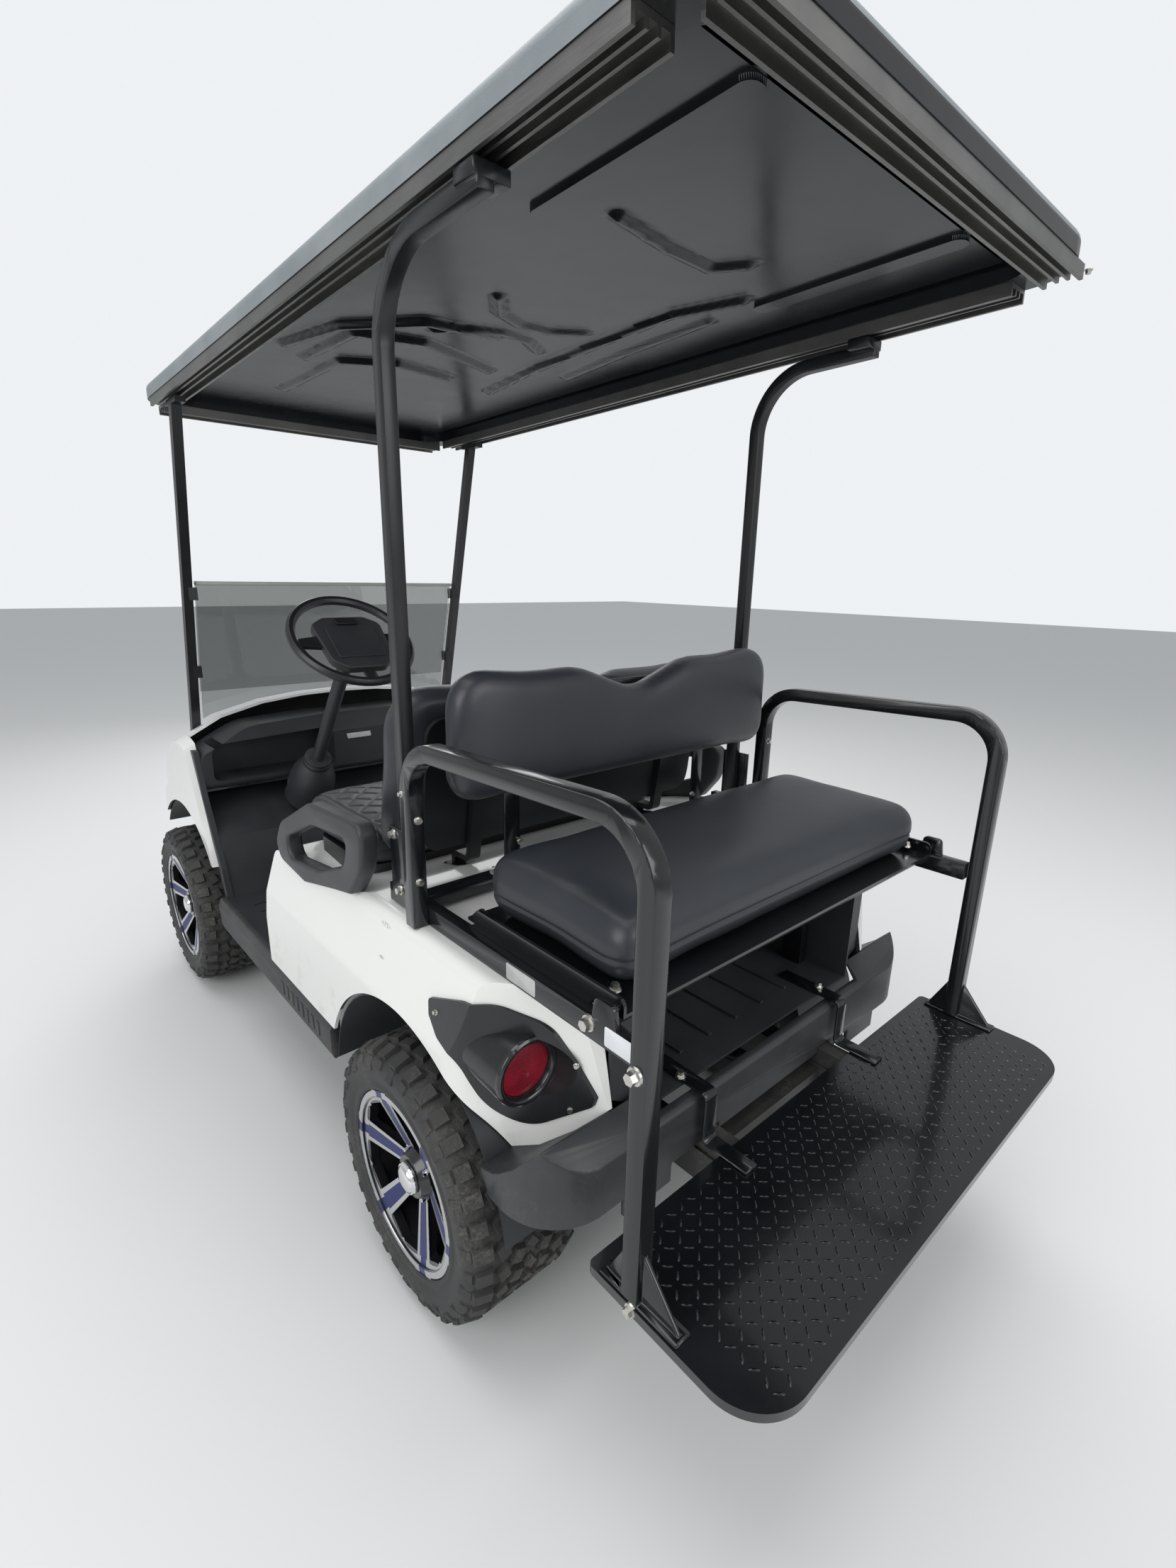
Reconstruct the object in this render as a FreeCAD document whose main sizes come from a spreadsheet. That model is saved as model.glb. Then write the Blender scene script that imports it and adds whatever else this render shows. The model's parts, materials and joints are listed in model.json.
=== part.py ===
import FreeCAD, Part
import math
import os
import re

from FreeCAD import Vector

# Lifted four-seat golf cart with a flip-down rear seat, in millimetres.
# Working frame: x forward from the rear axle, y to the left, z up from the ground.
# Every sub-part's Placement then carries it to the row frame, whose origin is the
# middle of the cart's floor area.

# Driving dimensions: alias and plain number, degrees where the alias ends in _angle
DIMENSIONS = (
    ("wheelbase", 1645), ("rear_reach", 810), ("front_reach", 345),
    ("track_half", 513), ("tyre_radius", 282), ("tyre_width", 254), ("lug_height", 12),
    ("tread_half", 100), ("rim_radius", 187), ("rim_width", 238), ("barrel_radius", 172),
    ("hub_radius", 44), ("hub_offset", 62), ("hub_tip", 98), ("spoke_root", 34),
    ("spoke_tip", 46), ("spoke_thick", 16), ("axle_radius", 30), ("fit_gap", 0.3),
    ("running_gap", 6), ("brake_radius", 92), ("brake_width", 60),
    ("motor_x", 150), ("motor_radius", 72), ("motor_length", 170),
    ("floor_top", 425), ("floor_thick", 12), ("rail_half", 200), ("rail_width", 50),
    ("rail_height", 70), ("rail_rear", 470), ("rail_front", 235),
    ("tube_radius", 38), ("spring_span", 330), ("spring_width", 45), ("spring_leaf", 16),
    ("body_half", 600), ("shoulder_half", 566), ("body_wall", 8),
    ("waist_height", 640), ("deck_height", 812), ("body_rear", 400), ("body_front", 816),
    ("wing_start", 165), ("wing_rear", 382), ("wing_half", 428), ("wing_lean", 47),
    ("arch_centre", 45), ("arch_radius", 355), ("arch_height", 285),
    ("front_arch_radius", 380), ("liner_wall", 7), ("well_half", 236),
    ("bag_half", 345), ("bag_floor", 556), ("bag_front", 30), ("tray_wall", 6),
    ("bumper_half", 604), ("bumper_rear", 430), ("bumper_low", 440), ("bumper_high", 540),
    ("bumper_wall", 10), ("bumper_corner", 125),
    ("lamp_x", 280), ("lamp_y", 526), ("lamp_z", 660), ("lamp_ring", 64), ("lens_radius", 49),
    ("rocker_low", 318), ("rocker_wall", 26), ("rocker_rear", 400),
    ("roof_length", 2274), ("roof_half", 538), ("roof_rear", 586), ("roof_height", 2009),
    ("roof_thick", 46), ("roof_angle", 1.5), ("roof_corner", 110), ("roof_skin", 10),
    ("channel_width", 64), ("channel_height", 24),
    ("strut_half", 515), ("strut_width", 28), ("strut_x", 113), ("strut_bend", 140),
    ("strut_reach", 190), ("clamp_height", 8),
    ("front_strut_half", 505), ("front_strut_width", 28), ("strut_foot", 56),
    ("strut_foot_height", 856), ("strut_lean", 260), ("strut_rise", 1014),
    ("pane_thick", 5), ("pane_half", 478), ("pane_low", 1046), ("pane_high", 1413),
    ("pane_foot", 925), ("pane_gap", 12),
    ("cowl_half", 592), ("cowl_wall", 8), ("cowl_rear", 315), ("cowl_top", 1020),
    ("cowl_side_top", 880), ("cowl_nose", 830), ("cowl_low", 505), ("toe_reach", 372),
    ("dash_rear", 205), ("dash_front", 33), ("dash_low", 748), ("dash_high", 960),
    ("dash_half", 556), ("pocket_depth", 130),
    ("wheel_back", 694), ("wheel_y", 230), ("wheel_z", 1268), ("wheel_ring", 170),
    ("wheel_grip", 14), ("column_angle", 51.3), ("column_radius", 21), ("boot_radius", 78),
    ("steer_arm", 125), ("kingpin_half", 400), ("kingpin_radius", 11), ("rod_radius", 9),
    ("seat_half", 495), ("seat_rear", 460), ("seat_front", 72), ("seat_rise", 173),
    ("pan_thick", 6), ("pan_flange", 30), ("flip_x", 470), ("flip_rise", 54),
    ("rail_rise", 38), ("side_rail_width", 24), ("side_rail_front", 175),
    ("side_rail_rear", 555), ("bolt_radius", 5.5),
    ("grab_tube", 32), ("grab_rear", 570), ("grab_front", 35), ("grab_rise", 378),
    ("grab_bend", 95), ("plate_top", 456), ("plate_thick", 5), ("plate_lip", 16),
    ("plate_front", 485), ("plate_half", 566), ("plate_corner", 90), ("tube_size", 40),
    ("tube_wall", 3),
    ("back_half", 495), ("back_low_rise", 218), ("back_high_rise", 488), ("back_thick", 78),
    ("front_seat_half", 505), ("front_seat_rear", 352), ("front_seat_front", 800),
    ("front_seat_drop", 16), ("front_seat_thick", 96), ("hinge_x", 726),
    ("hinge_drop", 38), ("hinge_radius", 8),
    ("front_back_x", 232), ("front_back_rise", 38), ("front_back_height", 404),
    ("front_back_thick", 96), ("back_lean_angle", 8),
)
NAMES = {name for name, number in DIMENSIONS}
SHIFT = "(rear_reach - wheelbase - front_reach) / 2"
SIDES = (("left", 1), ("right", -1))
AXLES = (("rear", 0), ("front", 1))
WIDE = 700

doc = FreeCAD.newDocument("Cart")
sheet = doc.addObject("Spreadsheet::Sheet", "Dims")
for row, (alias, number) in enumerate(DIMENSIONS, 1):
    sheet.set("A%d" % row, alias)
    sheet.set("B%d" % row, str(number))
    sheet.setAlias("B%d" % row, alias)
doc.recompute()


class Sizes:
    """The sheet's numbers, read by alias."""

    def __getattr__(self, alias):
        return float(sheet.get(alias))


d = Sizes()
subparts = []


def deck(rise):
    """A height above the rear deck, on which the seats and their frames stand."""
    return d.deck_height + rise


def front(reach):
    """A place along the cart, measured from the front axle."""
    return d.wheelbase + reach


# Helpers that bind objects to the sheet
def linked(text):
    """An expression in plain aliases, with each alias pointing into the sheet."""
    return re.sub(r"[a-z_]+", lambda word: "Dims." + word.group()
                  if word.group() in NAMES else word.group(), str(text))


def bind(item, **sizes):
    for name, text in sizes.items():
        item.setExpression(name, linked(text))
    return item


def place(item, corner):
    for axis, text in zip("xyz", corner):
        item.setExpression("Placement.Base." + axis, linked(text))
    return item


def box(name, corner, size):
    item = doc.addObject("Part::Box", name)
    bind(item, Length=size[0], Width=size[1], Height=size[2])
    return place(item, corner)


def rod(name, base, axis, radius, length):
    """A round bar from base along one of the axes x, y or z."""
    item = doc.addObject("Part::Cylinder", name)
    turn = {"x": (Vector(0, 1, 0), 90), "y": (Vector(1, 0, 0), -90), "z": (Vector(0, 0, 1), 0)}
    item.Placement.Rotation = FreeCAD.Rotation(*turn[axis])
    bind(item, Radius=radius, Height=length)
    return place(item, base)


def fuse(name, items):
    item = doc.addObject("Part::MultiFuse", name)
    item.Shapes = items
    item.Refine = True
    return item


def cut(name, base, tools):
    item = doc.addObject("Part::Cut", name)
    item.Base = base
    item.Tool = tools[0] if len(tools) == 1 else fuse(name + "Tools", tools)
    item.Refine = True
    return item


def shaped(name, shape):
    """An object whose form is worked out below from the sheet's numbers."""
    item = doc.addObject("Part::Feature", name)
    item.Shape = shape
    return item


def subpart(label, item):
    """Name a finished sub-part and carry it to the row frame."""
    bound = dict((path.lstrip("."), text) for path, text in item.ExpressionEngine)
    old = bound.get("Placement.Base.x") or repr(item.Placement.Base.x)
    item.Label = label
    item.setExpression("Placement.Base.x", old + " + " + linked(SHIFT))
    subparts.append(item)
    return item


# Helpers that work out forms
def wire_of(points, closed=True):
    """Lines through (vector, radius) corners, each corner rounded by its radius."""
    count = len(points)
    edges = []
    ends = []
    for index, (point, radius) in enumerate(points):
        inner = closed or 0 < index < count - 1
        if not inner or radius <= 0:
            ends.append((point, point, None))
            continue
        before = (points[index - 1][0] - point).normalize()
        after = (points[(index + 1) % count][0] - point).normalize()
        half = before.getAngle(after) / 2
        reach = radius / math.tan(half)
        centre = point + (before + after).normalize() * (radius / math.sin(half))
        middle = centre + (point - centre).normalize() * radius
        ends.append((point + before * reach, point + after * reach, middle))
    for index, (start, end, middle) in enumerate(ends):
        if middle:
            edges.append(Part.Arc(start, middle, end).toShape())
        if closed or index < count - 1:
            following = ends[(index + 1) % count][0]
            if end.distanceToPoint(following) > 1e-6:
                edges.append(Part.LineSegment(end, following).toShape())
    return Part.Wire(edges)


def slab(plane, corners, start, end):
    """A plate with the outline (u, v, radius) in plane xy, xz or yz, start to end across."""
    spot = {
        "xy": lambda u, v: Vector(u, v, start),
        "xz": lambda u, v: Vector(u, start, v),
        "yz": lambda u, v: Vector(start, u, v),
    }[plane]
    across = {"xy": Vector(0, 0, 1), "xz": Vector(0, 1, 0), "yz": Vector(1, 0, 0)}[plane]
    points = [(spot(corner[0], corner[1]), corner[2] if len(corner) > 2 else 0)
              for corner in corners]
    return Part.Face(wire_of(points)).extrude(across * (end - start))


def block(x0, x1, y0, y1, z0, z1):
    return Part.makeBox(x1 - x0, y1 - y0, z1 - z0, Vector(x0, y0, z0))


def drum(centre, axis, radius, length):
    """A cylinder whose middle is at centre."""
    direction = Vector(*axis).normalize()
    start = Vector(*centre) - direction * (length / 2)
    return Part.makeCylinder(radius, length, start, direction)


def joined(shapes):
    shape = shapes[0].multiFuse(shapes[1:])
    return shape.removeSplitter()


def bar(points, width, bend, height=None):
    """A square bar or tube of solid outline along bent runs."""
    height = height or width
    corners = [(Vector(*point), bend) for point in points]
    path = wire_of(corners, closed=False)
    along = (corners[1][0] - corners[0][0]).normalize()
    side = Vector(0, 1, 0)
    if abs(along.dot(side)) > 0.9:
        side = Vector(1, 0, 0)
    other = along.cross(side).normalize()
    half_side = side * (width / 2)
    half_other = other * (height / 2)
    first = corners[0][0]
    ring = [first + half_side + half_other, first - half_side + half_other,
            first - half_side - half_other, first + half_side - half_other]
    section = Part.Wire(Part.makePolygon(ring + ring[:1]).Edges)
    return path.makePipeShell([section], True, False)


def flipped(shape):
    """The same form on the other side of the cart."""
    return shape.mirror(Vector(0, 0, 0), Vector(0, 1, 0))


def on_side(shape, side):
    return shape if side > 0 else flipped(shape)


def both_sides(shape):
    return Part.makeCompound([on_side(shape, side) for label, side in SIDES])


# Chassis: two rails under the floor with cross members
def make_frame_rails():
    top = "floor_top - floor_thick"
    pieces = []
    for label, side in SIDES:
        pieces.append(box("Rail_" + label,
                          ("-rail_rear", "%d * rail_half - rail_width / 2" % side,
                           top + " - rail_height"),
                          ("rail_rear + wheelbase + rail_front", "rail_width", "rail_height")))
    members = (("Rear", "-rail_rear + 30"), ("Middle", "wheelbase * 0.3"),
               ("Front", "wheelbase * 0.72"), ("Nose", "wheelbase + rail_front - rail_width"))
    for label, x in members:
        pieces.append(box("Member" + label, (x, "-rail_half", top + " - rail_height + 8"),
                          ("rail_width", "2 * rail_half", "rail_height - 16")))
    for label, side in SIDES:
        pieces.append(box("PlateTube_" + label,
                          ("-rear_reach + 90", "%d * rail_half - 20" % side, top),
                          ("rear_reach - rail_rear + 10", "40",
                           "plate_top - plate_thick - fit_gap - floor_top + floor_thick")))
        for end, sign in (("Front", 1), ("Rear", -1)):
            inner = "rail_half + rail_width / 2"
            start = inner if side > 0 else "-(%s) - 12" % inner
            pieces.append(box("Hanger%s_%s" % (end, label),
                              ("%d * spring_span - 30" % sign, start,
                               top + " - rail_height - 12"),
                              ("60", "12", "rail_height + 12")))
    tube_low = "plate_top - plate_thick - fit_gap - tube_size"
    tube_rear = "-plate_front - plate_thick - fit_gap - tube_size"
    pieces.append(box("CrossTube", (tube_rear, "-plate_half + 28", tube_low),
                      ("tube_size", "2 * (plate_half - 28)", "tube_size")))
    bores = []
    for label, side in SIDES:
        start = "plate_half - 28 - 120" if side > 0 else "-(plate_half - 28) - 1"
        bores.append(box("TubeBore_" + label,
                         (tube_rear + " + tube_wall", start,
                          tube_low + " + tube_wall"),
                         ("tube_size - 2 * tube_wall", "121", "tube_size - 2 * tube_wall")))
    return subpart("frame_rails", cut("FrameRails", fuse("RailsSolid", pieces), bores))


def make_rear_axle():
    hub_face = "track_half + hub_offset - fit_gap"
    pieces = [rod("AxleTube", ("0", "-(%s) + 20" % hub_face, "tyre_radius"), "y",
                  "tube_radius", "2 * (%s - 20)" % hub_face),
              rod("GearCase", ("0", "-60", "tyre_radius"), "y", "96", "150"),
              box("GearHead", ("0", "-60", "tyre_radius - 80"),
                  ("motor_x + 46", "150", "120"))]
    for label, side in SIDES:
        start = "%s - brake_width - 30" % hub_face
        drum_y = start if side > 0 else "-(%s) - brake_width" % start
        pieces.append(rod("Brake_" + label, ("0", drum_y, "tyre_radius"), "y",
                          "brake_radius", "brake_width"))
        face = "%s - 30" % hub_face
        flange_y = face if side > 0 else "-(%s) - 30" % face
        pieces.append(rod("Flange_" + label, ("0", flange_y, "tyre_radius"), "y",
                          "hub_radius + 12", "30"))
        stub_y = face if side > 0 else "-(%s) - 60" % face
        pieces.append(rod("Stub_" + label, ("0", stub_y, "tyre_radius"), "y",
                          "axle_radius", "60"))
    return subpart("rear_axle", fuse("RearAxle", pieces))


def make_motor():
    return subpart("drive_motor", rod("DriveMotor", ("motor_x", "-60 - motor_length",
                                                     "tyre_radius - 20"), "y",
                                      "motor_radius", "motor_length - fit_gap"))


def make_batteries():
    pack = box("BatteryPack", ("body_front - 400", "-bag_half",
                               "floor_top - floor_thick + fit_gap"),
               ("330", "2 * bag_half", "deck_height * 0.3"))
    return subpart("battery_pack", pack)


# Leaf springs: a shallow arc with an eye at each end, clamped on the axle tube
def make_springs():
    solids = []
    sag = 34
    seat = d.tyre_radius + d.tube_radius + d.fit_gap
    inner = d.rail_half + d.rail_width / 2 + 12 + d.fit_gap
    for label, side in SIDES:
        ends = [Vector(sign * d.spring_span, inner, seat + sag) for sign in (-1, 1)]
        low = Vector(0, inner, seat)
        up = Vector(0, 0, d.spring_leaf)
        lower = Part.Arc(ends[0], low, ends[1]).toShape()
        upper = Part.Arc(ends[0] + up, low + up, ends[1] + up).toShape()
        sides = [Part.LineSegment(end, end + up).toShape() for end in ends]
        leaf = Part.Face(Part.Wire([lower, sides[1], upper, sides[0]]))
        spring = leaf.extrude(Vector(0, d.spring_width, 0))
        eyes = [drum((end.x, inner + d.spring_width / 2, end.z + d.spring_leaf / 2),
                     (0, 1, 0), d.spring_leaf, d.spring_width) for end in ends]
        solids.append(on_side(joined([spring] + eyes), side))
    return subpart("rear_springs", shaped("RearSprings", Part.makeCompound(solids)))


# Front axle beam with a yoke for each knuckle and the steering rack's housing
def make_front_axle():
    x = d.wheelbase
    z = d.tyre_radius
    king = d.kingpin_half
    beam = block(x - 30, x + 30, -king + 62, king - 62, z - 24, z + 24)
    pieces = [beam]
    for label, side in SIDES:
        yoke = block(x - 26, x + 26, king - 66, king + 26, z - 64, z + 64)
        slot = block(x - 40, x + 40, king - 40, king + 40, z - 42, z + 42)
        pin = drum((x, king, z), (0, 0, 1), d.kingpin_radius, 128)
        pieces.append(on_side(yoke.cut(slot).fuse(pin), side))
        post_y = d.rail_half
        pieces.append(on_side(block(x - 22, x + 22, post_y - 24, post_y + 24, z + 24,
                                    d.floor_top - d.floor_thick - d.rail_height), side))
    return subpart("front_axle", shaped("FrontAxle", joined(pieces)))


def make_rack():
    x = d.wheelbase - d.steer_arm
    z = d.tyre_radius
    half = d.rail_half - d.rail_width / 2 - 20
    house = drum((x, 0, z), (0, 1, 0), 26, 2 * half)
    bore = drum((x, 0, z), (0, 1, 0), d.rod_radius + d.fit_gap, 2 * half + 4)
    arm = block(x, d.wheelbase - 30, -40, 40, z - 20, z + 20)
    housing = house.fuse(arm).cut(bore)
    return subpart("steering_rack", shaped("SteeringRack", housing))


# Knuckles: a hollow post on the kingpin, a stub for the wheel and the steering arm
def make_knuckle(label, side):
    x = d.wheelbase
    z = d.tyre_radius
    king = d.kingpin_half
    face = d.track_half + d.hub_offset - d.fit_gap
    post = drum((x, king, z), (0, 0, 1), 24, 84 - 2 * d.fit_gap)
    bore = drum((x, king, z), (0, 0, 1), d.kingpin_radius + d.fit_gap, 90)
    stub = drum((x, (king + face) / 2, z), (0, 1, 0), 22, face - king)
    flange = drum((x, face - 15, z), (0, 1, 0), d.hub_radius + 12, 30)
    disc = drum((x, face - 30 - d.brake_width / 2 + 14, z), (0, 1, 0),
                d.brake_radius, 28)
    tip = face + 30
    spigot = drum((x, (face - 10 + tip) / 2, z), (0, 1, 0), d.axle_radius, tip - face + 10)
    arm = block(x - d.steer_arm - 16, x, king - 14, king + 14, z - 10, z + 10)
    knuckle = joined([post, stub, flange, disc, spigot, arm]).cut(bore)
    return subpart("knuckle_" + label, shaped("Knuckle_" + label, on_side(knuckle, side)))


def make_rack_rod():
    """The toothed bar and its two tie rods, which end short of the steering arms."""
    x = d.wheelbase - d.steer_arm
    z = d.tyre_radius
    reach = d.kingpin_half - 14 - 12
    rack = drum((x, 0, z), (0, 1, 0), d.rod_radius, 2 * reach)
    return subpart("tie_rods", shaped("TieRods", rack))


# Wheels: a rim and its dish turned from sections, with windows cut between six spokes
BEAD_DROP = 9
RIM_SECTION = (
    # share of the rim's half width from the middle, radius below the lip
    (1.0, 0), (1.0, 15), (-0.7, 34), (-1.0, 9), (-1.0, 0), (-0.86, BEAD_DROP),
    (-0.66, BEAD_DROP), (-0.5, 24), (0.3, 20), (0.52, BEAD_DROP), (0.86, BEAD_DROP),
)
SPOKES = 6
SPOKE_TURN = -6


def make_rim(label, x, side):
    half = d.rim_width / 2
    points = [Vector(0, share * half, d.rim_radius - drop) for share, drop in RIM_SECTION]
    section = Part.Face(Part.Wire(Part.makePolygon(points + points[:1]).Edges))
    barrel = section.revolve(Vector(0, 0, 0), Vector(0, 1, 0), 360)
    dish = [(0, d.hub_offset), (d.hub_radius + 14, d.hub_offset),
            (d.barrel_radius + 2, half - d.spoke_thick - 6), (d.barrel_radius + 2, half - 4),
            (d.hub_radius + 10, d.hub_offset + d.spoke_thick + 4), (d.hub_radius, d.hub_tip),
            (0, d.hub_tip)]
    points = [Vector(0, across, radius) for radius, across in dish]
    section = Part.Face(Part.Wire(Part.makePolygon(points + points[:1]).Edges))
    plate = section.revolve(Vector(0, 0, 0), Vector(0, 1, 0), 360)
    inner = d.hub_radius + 12
    outer = d.barrel_radius - 14
    turn = math.radians(180 / SPOKES)
    root = turn - math.asin(d.spoke_root / 2 / inner)
    tip = turn - math.asin(d.spoke_tip / 2 / outer)
    corners = [(inner * math.sin(-root), inner * math.cos(root), 4),
               (outer * math.sin(-tip), outer * math.cos(tip), 8),
               (0, outer + 10, 0),
               (outer * math.sin(tip), outer * math.cos(tip), 8),
               (inner * math.sin(root), inner * math.cos(root), 4)]
    windows = []
    for index in range(SPOKES):
        window = slab("xz", corners, d.hub_offset - 30, half + 10)
        window.rotate(Vector(0, 0, 0), Vector(0, 1, 0), SPOKE_TURN + index * 360 / SPOKES)
        windows.append(window)
    bore = drum((0, 0, 0), (0, 1, 0), d.axle_radius + d.fit_gap, 2 * (d.hub_offset + 33))
    rim = joined([barrel, plate]).cut(windows + [bore])
    rim.translate(Vector(x, d.track_half, d.tyre_radius))
    return subpart("rim_" + label, shaped("Rim_" + label, on_side(rim, side)))


# Tyres: flat-sided rings, two of them with tread blocks set half a step apart
LUGS = 17
LUG = (
    # share of a facet of the carcass from the lug's middle, whether on top of the lug
    (-0.46, False), (-0.34, True), (0.34, True), (0.46, False),
)


def ring(marks, across):
    """Points beside the axle, each from its radius and its angle in degrees."""
    turns = [(radius, math.radians(angle)) for radius, angle in marks]
    return [Vector(radius * math.sin(turn), across, radius * math.cos(turn))
            for radius, turn in turns]


def banded(rings, closed=False):
    """A solid of flat faces between rings of points, with flat ends unless it closes."""
    faces = []
    following = rings[1:] + rings[:1] if closed else rings[1:]
    for one, two in zip(rings, following):
        for index in range(len(one)):
            corners = [one[index - 1], one[index], two[index], two[index - 1], one[index - 1]]
            faces.append(Part.Face(Part.makePolygon(corners)))
    if not closed:
        faces += [Part.Face(Part.makePolygon(end + end[:1])) for end in (rings[0], rings[-1])]
    solid = Part.Solid(Part.Shell(faces))
    return solid if solid.Volume > 0 else solid.reversed()


def make_tyre(label, x, side):
    half = d.tyre_width / 2
    floor = d.tyre_radius - d.lug_height
    bead = d.rim_radius - BEAD_DROP + d.fit_gap
    toe = d.rim_width / 2 * 0.86 - d.fit_gap
    tread = d.tread_half
    step = 180 / LUGS
    grown = 1 / math.cos(math.radians(step / 2))
    crown = d.tyre_radius / math.cos(math.radians(step * LUG[1][0]))
    wall = (floor + bead) / 2 + 14
    section = ((bead, -toe), (wall, -half), (floor - 12, -half * 0.96), (floor, -tread),
               (floor, tread), (floor - 12, half * 0.96), (wall, half), (bead, toe))

    def facets(radius, across):
        return ring([(radius * grown, step * (index + 0.5)) for index in range(2 * LUGS)], across)
    carcass = banded([facets(radius, across) for radius, across in section], closed=True)
    core = banded([facets(floor - 34, across) for across in (-half, half)])
    rows = []
    for row in (0, 1):
        out = 1 if row else -1
        marks = [(crown if top else floor - 3, step * (2 * lug + row + share))
                 for lug in range(LUGS) for share, top in LUG]
        low = [(radius * (floor - 20) / floor, angle) for radius, angle in marks]
        teeth = banded([ring(marks, out * 7), ring(marks, out * tread),
                        ring(low, out * half * 0.975)])
        rows.append(teeth.cut(core))
    tyre = carcass.multiFuse(rows)
    tyre.translate(Vector(x, d.track_half, d.tyre_radius))
    return subpart("tyre_" + label, shaped("Tyre_" + label, on_side(tyre, side)))


# Floor, rockers and the sloping toe board
def arch_tool(x, radius, inner, extra=40):
    """The space above one axle's wheels, on both sides of the cart."""
    length = d.body_half + extra - inner
    middle = inner + length / 2
    return [drum((x, sign * middle, d.arch_height), (0, 1, 0), radius, length)
            for sign in (1, -1)]


def toe_line():
    """Upper face of the toe board, from the floor's front edge up to under the dash."""
    return [(front(-d.toe_reach), d.floor_top),
            (front(71 - d.toe_reach), (d.floor_top + d.dash_low) / 2 + 20),
            (front(-95), d.dash_low - 34)]


def toe_form(gap):
    """All that lies ahead of and under the toe board's face, grown by a gap."""
    line = [(x - gap, z + gap) for x, z in toe_line()]
    rear = line[0][0] - 170
    low = d.floor_top - 125
    return slab("xz", [(rear, line[0][1])] + line + [(front(105), line[2][1]),
                                                      (front(105), low), (rear, low)],
                -WIDE, WIDE)


def make_floor():
    top = d.floor_top
    under = top - d.floor_thick
    inner = d.body_half - d.rocker_wall - d.fit_gap
    thick = d.floor_thick
    upper = toe_line()
    below = [(upper[0][0] + 6, under), (upper[1][0] + thick * 0.7, upper[1][1] - thick),
             (upper[2][0], upper[2][1] - thick * 1.2)]
    start = d.body_front - 40
    floor = slab("xz", [(start, under)] + below + upper[::-1] + [(start, top)], -inner, inner)
    ribs = [block(d.body_front + 40 + 62 * index, d.body_front + 64 + 62 * index,
                  -inner + 50, inner - 50, top, top + 4) for index in range(6)]
    side = block(upper[0][0] - 12, d.wheelbase, d.dash_half, d.body_half, 0, d.dash_high)
    floor = floor.cut([side, on_side(side, -1)])
    strip = block(start, d.wheelbase, d.dash_half - 2, inner, under, top)
    body_cut = arch_tool(d.wheelbase, d.front_arch_radius, d.well_half)
    pan = joined([floor, strip, on_side(strip, -1)] + ribs).cut(body_cut)
    return subpart("floor_pan", shaped("FloorPan", pan))


def make_rockers():
    front = d.wheelbase - d.front_arch_radius * 0.93
    outer = d.body_half
    corners = [(outer - d.rocker_wall, d.rocker_low + 20, 0), (outer - 8, d.rocker_low, 6),
               (outer, d.rocker_low + 26, 8), (outer, d.floor_top - 22, 14),
               (outer - 10, d.floor_top, 6), (outer - d.rocker_wall, d.floor_top, 0)]
    sill = slab("yz", corners, d.rocker_rear, front)
    steps = [block(d.rocker_rear + 70 + 34 * index, d.rocker_rear + 84 + 34 * index,
                   outer - 3, outer + 2, d.rocker_low + 36, d.floor_top - 34)
             for index in range(8)]
    arch = arch_tool(d.wheelbase, d.front_arch_radius, d.well_half)
    rocker = joined([sill] + steps).cut(arch)
    return subpart("rockers", shaped("Rockers", both_sides(rocker)))


# Rear body: plan, side and end outlines taken together, then hollowed
def rear_form(inset):
    """The rear body's outer form, or a parallel one inside it."""
    half = d.body_half - inset
    shoulder = d.shoulder_half - inset
    rear = -d.wing_rear + inset
    wing = d.wing_half - inset
    nose = d.body_front - inset
    top = deck(-inset)
    low = d.floor_top - 60
    plan = [(nose, half, 30), (-d.wing_start, half, 120), (rear, wing, 10), (rear, -wing, 10),
            (-d.wing_start, -half, 120), (nose, -half, 30)]
    middle = (d.floor_top + d.deck_height) / 2
    side = [(nose, low, 0), (nose, d.floor_top + 45, 60), (nose - 42, middle - 8, 90),
            (nose - 84, deck(-44), 26), (nose - 148, deck(-55 - inset), 60),
            (nose - 295, deck(-68 - inset), 90), (nose - 470, deck(-26 - inset), 120),
            (nose - 586, top, 60), (rear + d.wing_lean, top, 0), (rear - d.wing_lean, low, 0)]
    rise = d.deck_height - d.waist_height
    end = [(half, low, 0), (half, d.waist_height, rise * 0.5), (shoulder, top, rise * 0.16),
           (-shoulder, top, rise * 0.16), (-half, d.waist_height, rise * 0.5),
           (-half, low, 0)]
    return slab("xy", plan, low, top + 80).common(
        slab("xz", side, -half - 40, half + 40)).common(slab("yz", end, rear - 40, nose + 40))


# The front seat's hinges and the legs of its backrest, from the middle of the cart
HINGE_Y = 280
LEG_X = 278
LEG_Y = 304
WING_EDGE = (
    # behind the rear axle, above the floor: the lower edge of the wing behind the wheel
    (190, 90), (207, 65), (228, 55), (287, 73), (337, 115), (382, 165),
)


def under_wing(gap):
    """The space below the wing's lower edge, where the bumper stands."""
    edge = [(-back, d.floor_top + rise - gap) for back, rise in WING_EDGE]
    rear = -d.rear_reach
    low = d.floor_top - 125
    start = edge[0][0]
    return slab("xz", [(start, low)] + edge + [(rear, edge[-1][1]), (rear, low)], -WIDE, WIDE)


def bar_holes():
    """The places along and across of the accessory holes in the front cross bar."""
    return [(79, side * y) for label, side in SIDES for y in (120, 160)]


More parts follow.
